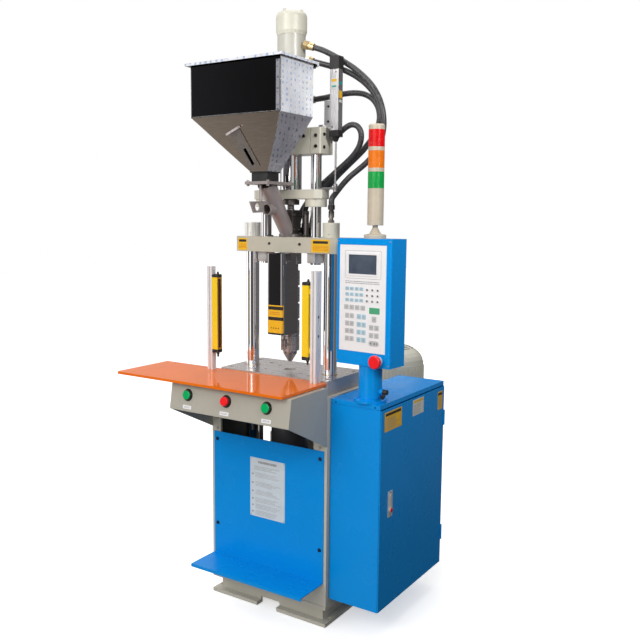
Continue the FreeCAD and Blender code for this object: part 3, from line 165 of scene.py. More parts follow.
BEIGE = (0.53, 0.505, 0.43)
beige = paint("beige_paint", BEIGE, rough=(0.3, 0.46), coat=0.25, peel=0.16, vary=0.05, dust=(0.5, 0.46, 0.37))
beige_cast = paint("beige_cast_paint", (0.58, 0.56, 0.47), rough=(0.34, 0.5), coat=0.2, peel=0.22, vary=0.07, edge=0.002,
                   dust=(0.45, 0.41, 0.33))
blue = paint("blue_paint", (0.0003, 0.265, 0.73), rough=(0.2, 0.32), coat=0.05, peel=0.03, vary=0.035, spec=0.16)
# painted shade: a darker copy of the blue paint for the cabinet's inside faces
painted_shade_blue_inside = paint("blue_paint_inside_painted_shade", (0.0015, 0.16, 0.45), rough=(0.3, 0.5), coat=0.1)
# painted shade: the injection cylinder gets a darker copy of the cast beige
cylinder_beige_painted_shade = paint("cylinder_paint_painted_shade", (0.445, 0.432, 0.378), rough=(0.34, 0.5), coat=0.2, peel=0.22, vary=0.06, edge=0.002)
# painted shade: the upper platen gets a darker copy of the cast beige; its dust patches are real
platen_beige_painted_shade = paint("platen_paint_painted_shade", (0.47, 0.44, 0.36), rough=(0.34, 0.5), coat=0.2, peel=0.22, vary=0.07, edge=0.002,
                     dust=(0.40, 0.37, 0.30))
# painted shade: the console gets a darker copy of the beige paint
console_beige_painted_shade = paint("console_paint_painted_shade", (0.405, 0.385, 0.325), rough=(0.3, 0.46), coat=0.25, peel=0.16, vary=0.05)
# painted shade: the clamp cylinder gets a near-black paint for the shade it sits in
clamp_cylinder_painted_shade = paint("clamp_cylinder_paint_painted_shade", (0.085, 0.083, 0.09), rough=(0.32, 0.5), coat=0.15, peel=0.22, vary=0.1, edge=0.002)
ground = metal("ground_steel", (0.80, 0.745, 0.735), (0.16, 0.36), grain=(4, 90, 4), scale=10.0, depth=0.04, vary=0.10, edge=0.0008)
# partly painted light: the sides' rougher upright grain is real, but their lighter, less metallic copy of the ground
# steel stands in for light on them
ground_side_painted_light = metal("ground_steel_side_painted_light", (0.42, 0.385, 0.36), (0.45, 0.6), grain=(4, 4, 90), scale=10.0, depth=0.06, vary=0.22, edge=0.0012, solid=0.25)
chrome = metal("hard_chrome", (0.80, 0.79, 0.80), (0.035, 0.09), grain=(1, 1, 40), scale=16.0, depth=0.012, vary=0.03)
cast_dark = metal("machined_block", (0.17, 0.155, 0.15), (0.3, 0.5), grain=(1, 1, 8), scale=40.0, depth=0.15, vary=0.2, edge=0.001)
# painted reflection: the hopper front is a near-black copy of the stainless, standing in for a dark reflection
hopper_front_painted_reflection = metal("mirror_sheet_front_painted_reflection", (0.13, 0.13, 0.145), (0.03, 0.07), grain=(12, 1, 1), scale=18.0, depth=0.01, vary=0.10)
# painted reflection: the hopper's front slope is a brownish copy of the stainless, standing in for the floor's
# reflection
hopper_slope_painted_reflection = metal("mirror_sheet_slope_painted_reflection", (0.40, 0.325, 0.265), (0.10, 0.2), grain=(1, 8, 8), scale=30.0, depth=0.015, vary=0.10)
mirror_in = metal("mirror_sheet_inside", (0.42, 0.41, 0.41), (0.18, 0.3), grain=(1, 1, 10), scale=30.0, depth=0.03)
cover_mirror = metal("cover_mirror", (0.34, 0.32, 0.325), (0.03, 0.08), grain=(1, 1, 20), scale=20.0, depth=0.01, vary=0.08)
lid_steel = metal("lid_steel", (0.52, 0.49, 0.47), (0.14, 0.26), grain=(8, 1, 1), scale=24.0, depth=0.02, vary=0.10)
bright_edge = metal("bright_edge", (0.78, 0.76, 0.75), (0.12, 0.25), grain=(1, 1, 6), scale=50.0, depth=0.03)
stainless = metal("satin_stainless", (0.46, 0.43, 0.42), (0.16, 0.3), grain=(10, 10, 1), scale=30.0, depth=0.05, vary=0.14)
band_steel = metal("band_steel", (0.36, 0.335, 0.325), (0.2, 0.36), grain=(1, 1, 25), scale=20.0, depth=0.05, vary=0.22, solid=0.72)
tool = metal("tool_steel", (0.40, 0.385, 0.39), (0.2, 0.36), grain=(1, 1, 30), scale=22.0, depth=0.06, vary=0.14, edge=0.0006)
nozzle_steel = metal("nozzle_steel", (0.24, 0.215, 0.21), (0.24, 0.4), grain=(1, 1, 30), scale=22.0, depth=0.08, vary=0.2)
bronze = metal("bronze", (0.55, 0.38, 0.18), (0.25, 0.4), grain=(1, 1, 20), scale=30.0, depth=0.05)
brass = metal("brass", (0.62, 0.47, 0.24), (0.2, 0.34), scale=60.0, depth=0.05, vary=0.12)
plated = metal("plated_fitting", (0.34, 0.31, 0.27), (0.22, 0.4), scale=70.0, depth=0.06, vary=0.2)
black_fit = metal("black_oxide", (0.06, 0.055, 0.055), (0.3, 0.5), scale=80.0, depth=0.08, vary=0.3)
sensor_alu = metal("anodised_sensor_body", (0.70, 0.685, 0.69), (0.34, 0.46), grain=(20, 20, 1), scale=16.0, depth=0.03, vary=0.03, edge=0.0008)
alu = metal("aluminium_profile", (0.80, 0.78, 0.78), (0.36, 0.5), grain=(30, 30, 1), scale=16.0, depth=0.03, vary=0.05, edge=0.0008, solid=0.35)
cap_metal = metal("cap_bright", (0.80, 0.79, 0.75), (0.26, 0.4), grain=(1, 1, 12), scale=24.0, depth=0.03, vary=0.06, edge=0.0008, solid=0.55)
nut_steel = metal("nut_steel", (0.60, 0.58, 0.56), (0.3, 0.44), grain=(1, 1, 20), scale=24.0, depth=0.05, vary=0.12, edge=0.0008, solid=0.7)
lock_metal = metal("lock_bright", (0.74, 0.73, 0.72), (0.3, 0.42), grain=(1, 1, 14), scale=30.0, depth=0.04, vary=0.1, solid=0.4)
satin_tube = metal("satin_tube", (0.31, 0.27, 0.262), (0.34, 0.48), grain=(10, 1, 1), scale=26.0, depth=0.06, vary=0.2, solid=0.35)
# painted reflection: the sight strip's body is a dark brownish copy of its steel, like the slope's painted reflection
strip_painted_reflection = metal("strip_body_painted_reflection", (0.24, 0.21, 0.19), (0.26, 0.38), grain=(10, 10, 1), scale=24.0, depth=0.04, vary=0.08, solid=0.8)
# painted highlight: the strip's bent tab is a bright copy of the same steel
tab_painted_highlight = metal("strip_tab_painted_highlight", (0.82, 0.76, 0.76), (0.24, 0.36), grain=(10, 1, 1), scale=24.0, depth=0.03, vary=0.08, solid=0.7)
# painted shade: a near-black copy of the beige for the frame's inside faces
painted_shade_frame_inside = paint("frame_inside_painted_shade", (0.030, 0.030, 0.036), rough=(0.45, 0.6), coat=0.0, peel=0.1, vary=0.25)
window_dark = plastic("curtain_window", (0.05, 0.012, 0.004), rough=(0.06, 0.12), depth=0.01, coat=0.8, vary=0.2)
yellow = paint("yellow_paint", (0.86, 0.58, 0.01), rough=(0.2, 0.32), coat=0.5, peel=0.05, vary=0.06, edge=0.0015)
amber_side = paint("amber_side_paint", (0.42, 0.20, 0.006), rough=(0.2, 0.32), coat=0.5, peel=0.05, vary=0.12, edge=0.0015)
black = plastic("black_plastic", (0.016, 0.015, 0.015), rough=(0.3, 0.5), depth=0.12, vary=0.25)
rubber = plastic("black_rubber", (0.012, 0.012, 0.013), rough=(0.42, 0.6), grain=140.0, depth=0.3, vary=0.3)
green_btn = plastic("green_button", (0.0, 0.40, 0.11), rough=(0.12, 0.2), coat=0.5, sub=0.03)
red_btn = plastic("red_button", (0.86, 0.004, 0.008), rough=(0.24, 0.36), coat=0.12, sub=0.03)
cream = plastic("cream_plastic", (0.50, 0.43, 0.33), rough=(0.3, 0.42), coat=0.2, sub=0.04, vary=0.04)
white_film = plastic("membrane_film", (0.80, 0.79, 0.80), rough=(0.34, 0.44), grain=700.0, depth=0.05, vary=0.02, edge=0.0)
white_bezel = plastic("display_bezel", (0.78, 0.77, 0.78), rough=(0.3, 0.4), grain=500.0, depth=0.04, vary=0.02)
key_blue = plastic("key_pale_blue", (0.36, 0.53, 0.62), rough=(0.32, 0.42), vary=0.04)
key_grey = plastic("key_grey", (0.47, 0.47, 0.48), rough=(0.32, 0.42), vary=0.04)
key_green = plastic("key_green", (0.06, 0.34, 0.17), rough=(0.32, 0.42), vary=0.05)
key_dark = plastic("key_legend", (0.06, 0.06, 0.065), rough=(0.4, 0.5), vary=0.1)
line_grey = plastic("fine_print_grey", (0.30, 0.30, 0.31), rough=(0.4, 0.5), vary=0.1)
label_yellow = plastic("label_yellow", (0.80, 0.45, 0.008), rough=(0.28, 0.4), vary=0.05, coat=0.3)
label_orange = plastic("label_orange_rows", (0.60, 0.16, 0.005), rough=(0.3, 0.4), vary=0.1)
label_black = plastic("label_black", (0.018, 0.014, 0.01), rough=(0.3, 0.4), vary=0.15)
label_pale = plastic("label_pale", (0.66, 0.65, 0.60), rough=(0.34, 0.44), vary=0.04)
plate_white = plastic("plate_white", (0.60, 0.66, 0.71), rough=(0.28, 0.4), vary=0.04, coat=0.2)
teal = plastic("label_teal", (0.02, 0.30, 0.28), rough=(0.3, 0.4), vary=0.06)
screw_dark = metal("dark_screw", (0.03, 0.045, 0.09), (0.3, 0.45), scale=60.0, depth=0.08, vary=0.2)
zinc = metal("zinc_screw", (0.45, 0.44, 0.42), (0.25, 0.4), scale=60.0, depth=0.08, vary=0.15)


def acrylic():
    m, t, s, where = blank("amber_acrylic")
    n = noise(t, where, 3.0, 3.0)
    t.links.new(ramp(t, n, [(0.3, (0.92, 0.175, 0.004)), (0.7, (0.96, 0.22, 0.008))]), s.inputs["Base Color"])
    t.links.new(span(t, noise(t, where, 16.0, 4.0), 0.015, 0.06), s.inputs["Roughness"])
    s.inputs["Transmission Weight"].default_value = 0.2
    s.inputs["IOR"].default_value = 1.45
    s.inputs["Specular IOR Level"].default_value = 0.42
    bump(t, s, noise(t, where, 22.0, 2.0), 0.02, 0.0004)
    return m


def braid():
    m, t, s, where = blank("braided_hose")
    v = t.nodes.new("ShaderNodeTexVoronoi")
    v.inputs["Scale"].default_value = 330.0
    t.links.new(where, v.inputs["Vector"])
    d = v.outputs["Distance"]
    # painted shade: the braid's colour runs darker towards the gaps between its strands
    t.links.new(ramp(t, d, [(0.0, (0.10, 0.095, 0.10)), (0.45, (0.045, 0.042, 0.045)), (0.8, (0.008, 0.008, 0.009))]),
                s.inputs["Base Color"])
    t.links.new(span(t, noise(t, where, 30.0), 0.32, 0.5), s.inputs["Roughness"])
    s.inputs["Coat Weight"].default_value = 0.25
    s.inputs["Coat Roughness"].default_value = 0.2
    inv = maths(t, "SUBTRACT", 1.0, d)
    bump(t, s, inv, 0.7, 0.0009)
    return m


def film(name, base, marks, strong):
    """Blue-white protective film still on the sheet: wrinkles, and plain rows of short marks."""
    m, t, s, where = blank(name)
    sep = t.nodes.new("ShaderNodeSeparateXYZ")
    t.links.new(where, sep.inputs[0])
    # rows of short marks: bands up the sheet, cut across, and thinned out by noise
    across = maths(t, "SINE", maths(t, "MULTIPLY", maths(t, "ADD", sep.outputs["Y"], sep.outputs["X"]), 2 * math.pi / 0.021))
    along_z = maths(t, "SINE", maths(t, "MULTIPLY", sep.outputs["Z"], 2 * math.pi / 0.0155))
    cell = noise(t, where, 70.0, 1.0, 0.5)
    bars = maths(t, "MULTIPLY", maths(t, "GREATER_THAN", across, 0.35), maths(t, "GREATER_THAN", along_z, -0.1))
    marks_on = maths(t, "MULTIPLY", bars, span(t, cell, 0.0, 1.0, 0.46, 0.56))
    sheet = ramp(t, noise(t, where, 12.0, 5.0, 0.65, (1, 1, 0.5)), [(0.3, shade(base, 0.82)), (0.5, base), (0.72, shade(base, 1.15))])
    mix = t.nodes.new("ShaderNodeMix")
    mix.data_type = "RGBA"
    t.links.new(maths(t, "MULTIPLY", marks_on, strong), mix.inputs[0])
    t.links.new(sheet, mix.inputs[6])
    mix.inputs[7].default_value = (*marks, 1)
    t.links.new(mix.outputs[2], s.inputs["Base Color"])
    t.links.new(span(t, noise(t, where, 20.0, 4.0), 0.16, 0.36), s.inputs["Roughness"])
    s.inputs["Metallic"].default_value = 0.15
    s.inputs["Coat Weight"].default_value = 0.4
    s.inputs["Coat Roughness"].default_value = 0.1
    bump(t, s, noise(t, where, 26.0, 4.0, 0.6), 0.35, 0.0012)
    return m


def lens(name, colour):
    m, t, s, where = blank(name)
    sep = t.nodes.new("ShaderNodeSeparateXYZ")
    t.links.new(where, sep.inputs[0])
    rib = maths(t, "SINE", maths(t, "MULTIPLY", sep.outputs["Z"], 2 * math.pi / 0.0034))
    t.links.new(ramp(t, noise(t, where, 25.0), [(0.3, shade(colour, 0.9)), (0.7, shade(colour, 1.1))]), s.inputs["Base Color"])
    t.links.new(span(t, noise(t, where, 40.0), 0.22, 0.32), s.inputs["Roughness"])
    s.inputs["Specular IOR Level"].default_value = 0.25
    s.inputs["Transmission Weight"].default_value = 0.08
    s.inputs["Subsurface Weight"].default_value = 0.25
    s.inputs["Subsurface Scale"].default_value = 0.01
    s.inputs["Coat Weight"].default_value = 0.06
    # painted glow: every lens gives off a weak light in its own colour, all three alike
    s.inputs["Emission Color"].default_value = (*colour, 1)
    s.inputs["Emission Strength"].default_value = 0.28
    bump(t, s, rib, 0.35, 0.0006)
    return m


def display():
    m, t, s, where = blank("display_glass")
    n = noise(t, where, 20.0, 3.0)
    t.links.new(ramp(t, n, [(0.3, (0.050, 0.066, 0.095)), (0.7, (0.085, 0.105, 0.145))]), s.inputs["Base Color"])
    t.links.new(span(t, noise(t, where, 60.0), 0.06, 0.12), s.inputs["Roughness"])
    s.inputs["Coat Weight"].default_value = 0.8
    bump(t, s, noise(t, where, 900.0, 1.0), 0.02, 0.0002)
    return m


table_orange = acrylic()
hose_mat = braid()
film_right = film("protective_film", (0.84, 0.86, 0.92), (0.30, 0.42, 0.66), 0.8)
# painted shade: a darker copy of the protective film, with darker marks, for some hopper film faces, the lid's front
# and the front strip
painted_shade_film = film("protective_film_painted_shade", (0.30, 0.30, 0.34), (0.055, 0.07, 0.13), 0.75)
lens_red, lens_orange, lens_green = (lens("lens_red", (0.56, 0.0005, 0.002)), lens("lens_orange", (0.62, 0.145, 0.001)),
                                     lens("lens_green", (0.001, 0.27, 0.045)))
screen = display()


# ------------------------------------------------------------------ CAD nodes
def give(node, *mats, pick=None):
    """Give a CAD node its materials; pick(centre in mm, normal) chooses one for each face."""
    o = nodes[node]
    o.data.materials.clear()
    for m in mats:
        o.data.materials.append(m)
    for p in o.data.polygons:
        p.material_index = 0 if pick is None else pick(p.center * 1000, p.normal)


PLAIN = {
    beige: ("base", "crossbeam", "oil_tank"),
    console_beige_painted_shade: ("console",),
    cylinder_beige_painted_shade: ("injection_cylinder",),
    platen_beige_painted_shade: ("upper_platen",),
    clamp_cylinder_painted_shade: ("clamp_cylinder",),
    beige_cast: ("crosshead", "hydromotor", "top_plate", "motor_housing"),
    blue: ("front_panel", "cabinet_door", "control_neck"),
    screw_dark: ("panel_screws",),
    chrome: ("clamp_ram", "tie_bars", "injection_rods", "piston_rod"),
    tool: ("barrel", "screw", "drive_shaft", "motor_rotor", "transducer_rod"),
    nut_steel: ("rod_nuts",),
    band_steel: ("heater_bands",),
    nozzle_steel: ("nozzle",),
    cover_mirror: ("barrel_cover",),
    satin_tube: ("feed_chute",),
    bronze: ("guide_bushes",),
    black: ("button_bezels", "clamp_lever"),
    rubber: ("hopper_neck",),
    hose_mat: ("hose_upper", "hose_second", "hose_third", "hose_lower"),
    green_btn: ("button_left", "button_right"),
    table_orange: ("table",),
    alu: ("curtain_posts",),
    white_film: ("control_panel",),
    cream: ("tower_body",),
    cast_dark: ("coupling", "feed_block"),
}
for mat, names_of in PLAIN.items():
    for n in names_of:
        give(n, mat)
give("button_stop", red_btn)
give("estop_button", red_btn)
# the lower platen's sides get the painted-light copy of the ground steel
give("lower_platen", ground, ground_side_painted_light, pick=lambda c, n: 0 if n.z > 0.5 else 1)
give("tie_caps", beige_cast, cap_metal, pick=lambda c, n: 1 if c.x < 0 else 0)
# the frame's inside faces get the near-black painted shade
give("frame", beige, painted_shade_frame_inside, pick=lambda c, n: 1 if -122 < c.y < 300 and abs(c.x) < 226 and 150 < c.z < 730 and (n.x * c.x < -0.5 or n.z < -0.5 or (n.y < -0.5 and abs(c.x) < 214)) else 0)
# the cabinet's inside faces get the darker blue copy, painted shade
give("cabinet", blue, painted_shade_blue_inside, pick=lambda c, n: 1 if 233 < c.x < 403 and -111 < c.y < 341 and 94 < c.z < 726 else 0)
give("cabinet_door", blue, lock_metal, pick=lambda c, n: 1 if c.x > 407.2 and -62 < c.y < -32 and 379 < c.z < 462 else 0)
give("door_handle", lock_metal)
give("tower_lenses", lens_red, lens_orange, lens_green, pick=lambda c, n: 0 if c.z > 1495 else (1 if c.z > 1435 else 2))


def bar_pick(c, n):
    """Black end caps, a dark window side that faces the other bar, yellow elsewhere."""
    if abs(n.z) > 0.9 and (c.z < 858 or c.z > 1094):
        return 2
    if (c.x < 0 and n.x > 0.9) or (c.x > 0 and n.x < -0.9):
        return 1
    return 0


give("curtain_bars", yellow, amber_side, black, pick=bar_pick)
# the strip's bent tab gets the painted highlight copy, its body the painted reflection copy
strip_mesh = nodes["sight_strip"].data
strip_out = max(strip_mesh.polygons, key=lambda p: p.area).normal.copy()
if strip_out.y > 0:
    strip_out.negate()
strip_back = min(v.co.dot(strip_out) for v in strip_mesh.vertices) * 1000
give("sight_strip", strip_painted_reflection, tab_painted_highlight, pick=lambda c, n: 1 if c.dot(strip_out) > strip_back + 4 else 0)
give("transducer", sensor_alu, black, pick=lambda c, n: 1 if c.x > 153 and (c.z > 1744.5 or c.z < 1559.5) else 0)


def fitting_pick(c, n):
    if c.x < 34 and c.z < 1300:
        return 2
    if c.x < 130 and c.z > 1780:
        return 1
    if 1290 < c.z < 1334 and c.x > 130:
        return 2 if c.z > 1300 else 0
    return 0


give("hose_fittings", plated, brass, black_fit, pick=fitting_pick)


# painted light in the hopper: the front gets the near-black painted reflection, the front slope the brownish painted
# reflection, and the right side's downward faces and the left and back faces that are not upright the darker
# painted-shade film
def hopper_pick(c, n):
    if n.x > 0.25:
        return 2 if n.z > -0.2 else 3
    if n.y < -0.8 and n.z > -0.2:
        return 0
    if n.y < -0.5 and n.z < -0.2:
        return 1
    if n.x < -0.25 or n.y > 0.25:
        return 2 if n.z > -0.2 and n.z < 0.2 else 3
    return 4


def outside_hopper(c, n):
    """Faces that look outwards get sheet or film, the inside keeps bare steel."""
    middle = Vector((-44 + (1750 - max(c.z, 1596)) * 0.0, -152, c.z))
    if c.z < 1596:
        k = (1596 - c.z) / 166
        middle = Vector((-44 * (1 - k), -152 * (1 - k) - 140 * k, c.z))
    out = (c - middle).dot(Vector((n.x, n.y, 0)))
    if c.y > -65.9:
        return 4
    return hopper_pick(c, n) if out > 0 else 4


give("hopper", hopper_front_painted_reflection, hopper_slope_painted_reflection, film_right, painted_shade_film, mirror_in, pick=outside_hopper)
# the lid's front face gets the darker painted-shade film
give("hopper_lid", lid_steel, film_right, painted_shade_film,
     pick=lambda c, n: 1 if (n.z > 0.9 and c.z > 1759) or (n.x > 0.9 and c.x > 139) else (1 if n.y < -0.9 and c.y < -250.5 else 0))
YAW = math.radians(-4.7)
BX = Vector((math.cos(YAW), math.sin(YAW), 0))
BY = Vector((-math.sin(YAW), math.cos(YAW), 0))
BO = Vector((239, -101, 0))


def on_box(u, w, z):
    return BO + BX * u + BY * w + Z * z


def box_pick(c, n):
    d = c - BO
    u, w = d.dot(BX), d.dot(BY)
    if w < -0.05 and math.hypot(u - 156, c.z - 872) < 15:
        return 1
    if math.hypot(u - 156, c.z - 872) < 10.95 and w < 35:
        return 2
    return 0


give("control_box", blue, alu, black, pick=box_pick)


# ------------------------------------------------------------------ mesh helpers (millimetres)
def finish_mesh(name, bm, body, mats, smooth=35):
    bmesh.ops.remove_doubles(bm, verts=bm.verts, dist=0.002)
    bmesh.ops.recalc_face_normals(bm, faces=bm.faces)
    bmesh.ops.scale(bm, vec=(0.001, 0.001, 0.001), verts=bm.verts)
    me = bpy.data.meshes.new(name)
    bm.to_mesh(me)
    bm.free()
    o = bpy.data.objects.new(name, me)
    bpy.context.scene.collection.objects.link(o)
    for m in mats if isinstance(mats, (list, tuple)) else [mats]:
        me.materials.append(m)
    for p in me.polygons:
        p.use_smooth = True
    me.set_sharp_from_angle(angle=math.radians(smooth))
    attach(o, body)
    return o


def rings(bm, loops, close_first=True, close_last=True, mat=0):
    made = [[bm.verts.new(p) for p in loop] for loop in loops]
    n = len(made[0])
    for a, b in zip(made, made[1:]):
        for i in range(n):
            f = bm.faces.new((a[i], a[(i + 1) % n], b[(i + 1) % n], b[i]))
            f.material_index = mat
    if close_first:
        bm.faces.new(list(reversed(made[0]))).material_index = mat
    if close_last:
        bm.faces.new(made[-1]).material_index = mat
    return made


def outline(w, h, r, steps=5):
    r = max(0.01, min(r, w / 2 - 0.001, h / 2 - 0.001))
    pts = []
    for cx, cy, a0 in ((w / 2 - r, h / 2 - r, 0), (-w / 2 + r, h / 2 - r, 90), (-w / 2 + r, -h / 2 + r, 180), (w / 2 - r, -h / 2 + r, 270)):
        for k in range(steps + 1):
            a = math.radians(a0 + 90 * k / steps)
            pts.append((cx + r * math.cos(a), cy + r * math.sin(a)))
    return pts


def plate(bm, o, u, v, w, h, t, r=1.0, c=0.15, mat=0, sink=0.3, steps=4):
    """A rounded plate that lies on a face at o: w along u, h along v, t proud of the face, edges broken by c."""
    n = u.cross(v).normalized()
    loops = []
    for ww, hh, rr, z in ((w, h, r, -sink), (w, h, r, t - c), (w - 2 * c, h - 2 * c, max(0.02, r - c), t)):
        loops.append([o + u * x + v * y + n * z for x, y in outline(ww, hh, rr, steps)])
    rings(bm, loops, mat=mat)


def frame_ring(bm, o, u, v, w, h, band, t, r=2.0, c=0.3, mat=0):
    """A raised rectangular ring."""
    n = u.cross(v).normalized()
    loops = []
    for ww, hh, rr, z in ((w, h, r, -0.2), (w, h, r, t - c), (w - 2 * c, h - 2 * c, r - c / 2, t),
                          (w - 2 * band + 2 * c, h - 2 * band + 2 * c, r * 0.6, t), (w - 2 * band, h - 2 * band, r * 0.5, t - c),
                          (w - 2 * band, h - 2 * band, r * 0.5, -0.2)):
        loops.append([o + u * x + v * y + n * z for x, y in outline(ww, hh, rr)])
    rings(bm, loops, False, False, mat=mat)


def basis(n):
    n = n.normalized()
    side = Z if abs(n.z) < 0.9 else X
    u = side.cross(n).normalized()
    return u, n.cross(u).normalized(), n


def turned(bm, o, n, prof, seg=32, mat=0, close=True):
    """Lathe: prof is (radius, distance along n); the first and last radius may be small discs."""
    u, v, n = basis(n)
    loops = [[o + (u * math.cos(2 * math.pi * k / seg) + v * math.sin(2 * math.pi * k / seg)) * r + n * z for k in range(seg)]
             for r, z in prof]
    rings(bm, loops, close, close, mat=mat)


def cap_screw(bm, o, n, r=5.0, h=4.0, mat=0):
    """Socket head screw: a chamfered head with a hexagon socket."""
    u, v, n = basis(n)
    seg = 24

    def circle(rad, z):
        return [o + (u * math.cos(2 * math.pi * k / seg) + v * math.sin(2 * math.pi * k / seg)) * rad + n * z for k in range(seg)]

    def hexa(rad, z):
        out = []
        for k in range(seg):
            a = 2 * math.pi * k / seg
            edge = rad * math.cos(math.pi / 6) / math.cos((a % (math.pi / 3)) - math.pi / 6)
            out.append(o + (u * math.cos(a) + v * math.sin(a)) * edge + n * z)
        return out

    rings(bm, [circle(r, -0.3), circle(r, h - 0.6), circle(r - 0.6, h), hexa(r * 0.56, h), hexa(r * 0.54, h - 0.55 * h)], mat=mat)


def rows_of(bm, o, u, v, w, h, rows, t=0.12, fill=0.55, seed=3, mat=0, ragged=True, marks=(2, 6)):
    """Plain rows of short bars, standing for fine print."""
    r = random.Random(seed)
    n = u.cross(v).normalized()
    pitch = h / rows
    for i in range(rows):
        y = h / 2 - pitch * (i + 0.5)
        x = -w / 2
        end = w / 2 * (1.0 if not ragged else r.uniform(0.2, 1.0))
        while x < end - 1.2:
            length = min(r.uniform(*marks), end - x)
            plate(bm, o + u * (x + length / 2) + v * y, u, v, length, pitch * fill, t, 0.1, 0.03, mat, 0.05, steps=1)
            x += length + r.uniform(0.6, 1.4)


# ------------------------------------------------------------------ control box face
# the keypad lies on the recessed sheet; its face is 0.5 mm behind the case front
U, V = BX, Z
FACE = 0.5


def key_set(name, cells, mat, t=0.7, r=1.6):
    bm = bmesh.new()
    for u, z, w, h in cells:
        plate(bm, on_box(u, FACE, z), U, V, w, h, t, r, 0.25)
    return finish_mesh(name, bm, "control", mat)


blue_cells = [(u, z, 13.4, 10.4) for u in (40.5, 57.0, 75.0, 91.5) for z in (1081.3, 1064.3, 1047.3)]
blue_cells += [(u, z, 15.0, 15.0) for u in (84.0, 101.5) for z in (999.0, 975.5, 952.5, 929.5)]
grey_cells = [(u, 1025.4, 16.4, 14.5) for u in (38.0, 57.5, 77.5, 97.5)]
grey_cells += [(u, z, 15.0, 15.0) for u in (41.5, 58.5) for z in (1000.0, 976.5, 953.5, 930.5)]
grey_cells += [(138.0, 994.5, 16.0, 17.0)] + [(u, z, 15.6, 15.6) for u in (128.5, 147.0) for z in (969.5, 946.5)]
num_cells = [(u, z, 14.5, 11.6) for u in (111.6, 130.2, 148.8) for z in (1080.0, 1063.3, 1046.6)]
key_set("keys_blue", blue_cells, key_blue)
key_set("keys_grey", grey_cells, key_grey)
key_set("keys_number", num_cells, white_bezel)
key_set("key_start", [(138.6, 1019.5, 36.5, 18.5)], key_green, r=2.0)
key_set("key_round", [(138.0, 922.5, 36.0, 16.0)], key_grey, r=7.9)
bm = bmesh.new()
for k, (u, z, w, h) in enumerate(blue_cells + grey_cells):
    plate(bm, on_box(u + (k % 3 - 1) * 0.8, FACE - 0.7, z + 0.6), U, V, w * 0.42, h * 0.16, 0.06, 0.2, 0.02, sink=0.03, steps=1)
    plate(bm, on_box(u, FACE - 0.7, z - h * 0.24), U, V, w * 0.26, h * 0.13, 0.06, 0.2, 0.02, sink=0.03, steps=1)
finish_mesh("key_marks_fine", bm, "control", line_grey)
bm = bmesh.new()
for k, (u, z, w, h) in enumerate(num_cells + [(128, 922.5, 9, 10), (140, 922.5, 9, 10), (148, 922.5, 6, 10)]):
    plate(bm, on_box(u, FACE - 0.7, z), U, V, w * 0.36, h * 0.5, 0.07, 0.6, 0.02, sink=0.03, steps=2)
    plate(bm, on_box(u + w * 0.1, FACE - 0.7, z - h * 0.1), U, V, w * 0.5, h * 0.14, 0.09, 0.3, 0.02, sink=0.03, steps=1)
finish_mesh("key_marks_bold", bm, "control", key_dark)
bm = bmesh.new()
frame_ring(bm, on_box(95.6, FACE, 1153.5), U, V, 128.0, 83.0, 0.9, 0.25, 3.0, 0.08)
rows_of(bm, on_box(94.5, FACE, 1100.7), U, V, 123.0, 10.5, 2, 0.15, 0.42, 5, ragged=False, marks=(3, 9))
finish_mesh("panel_print", bm, "control", line_grey)
bm = bmesh.new()
frame_ring(bm, on_box(94.4, FACE, 1154.2), U, V, 111.0, 69.0, 6.0, 1.4, 2.4, 0.4)
finish_mesh("display_frame", bm, "control", white_bezel)
bm = bmesh.new()
plate(bm, on_box(94.4, FACE, 1154.2), U, V, 99.5, 57.5, 0.3, 0.8, 0.05)
finish_mesh("display_glass", bm, "control", screen)
bm = bmesh.new()
for u in (5.5, 189.5):
    for z in (860, 1222):
        cap_screw(bm, on_box(u, 0, z), -BY, 2.6, 1.2)
finish_mesh("case_screws", bm, "control", zinc)

# ------------------------------------------------------------------ labels and plates, plain fields only
def label_block(name, body, o, u, v, w, h, fields, t=0.25, r=1.2):
    """fields: (x, y, w, h, material) on one base plate; the first is the base."""
    mats, bm = [], bmesh.new()
    for k, (x, y, ww, hh, m) in enumerate(fields):
        if m not in mats:
            mats.append(m)
        plate(bm, o + u * x + v * y, u, v, ww, hh, t + (0.08 if k else 0), r if not k else min(1.0, hh / 2.2), 0.04, mats.index(m),
              0.2, steps=3)
    return bm, mats


def done(name, made, body):
    bm, mats = made
    return finish_mesh(name, bm, body, mats)


# barrel cover: the label runs round the right front bend of the sheet
def cover_path(a0, a1, out):
    """Points round the cover's front, from a0 degrees into the left bend to a1 degrees into the right bend."""
    pts, r = [], 10.0 + out
    for k in range(7):
        a = math.radians(a0 * (1 - k / 6))
        pts.append((-23 - r * math.sin(a), -78 - r * math.cos(a)))
    for k in range(9):
        a = math.radians(a1 * k / 8)
        pts.append((23 + r * math.sin(a), -78 - r * math.cos(a)))
    return pts


def wrapped(bm, a0, a1, z0, z1, t, mat):
    outer, inner = cover_path(a0, a1, t), cover_path(a0, a1, -0.3)
    edge = 0.1
    rings(bm, [[Vector((x, y, z0)) for x, y in cover_path(a0, a1, t - edge) + inner[::-1]],
               [Vector((x, y, z0 + edge)) for x, y in outer + inner[::-1]],
               [Vector((x, y, z1 - edge)) for x, y in outer + inner[::-1]],
               [Vector((x, y, z1)) for x, y in cover_path(a0, a1, t - edge) + inner[::-1]]], mat=mat)


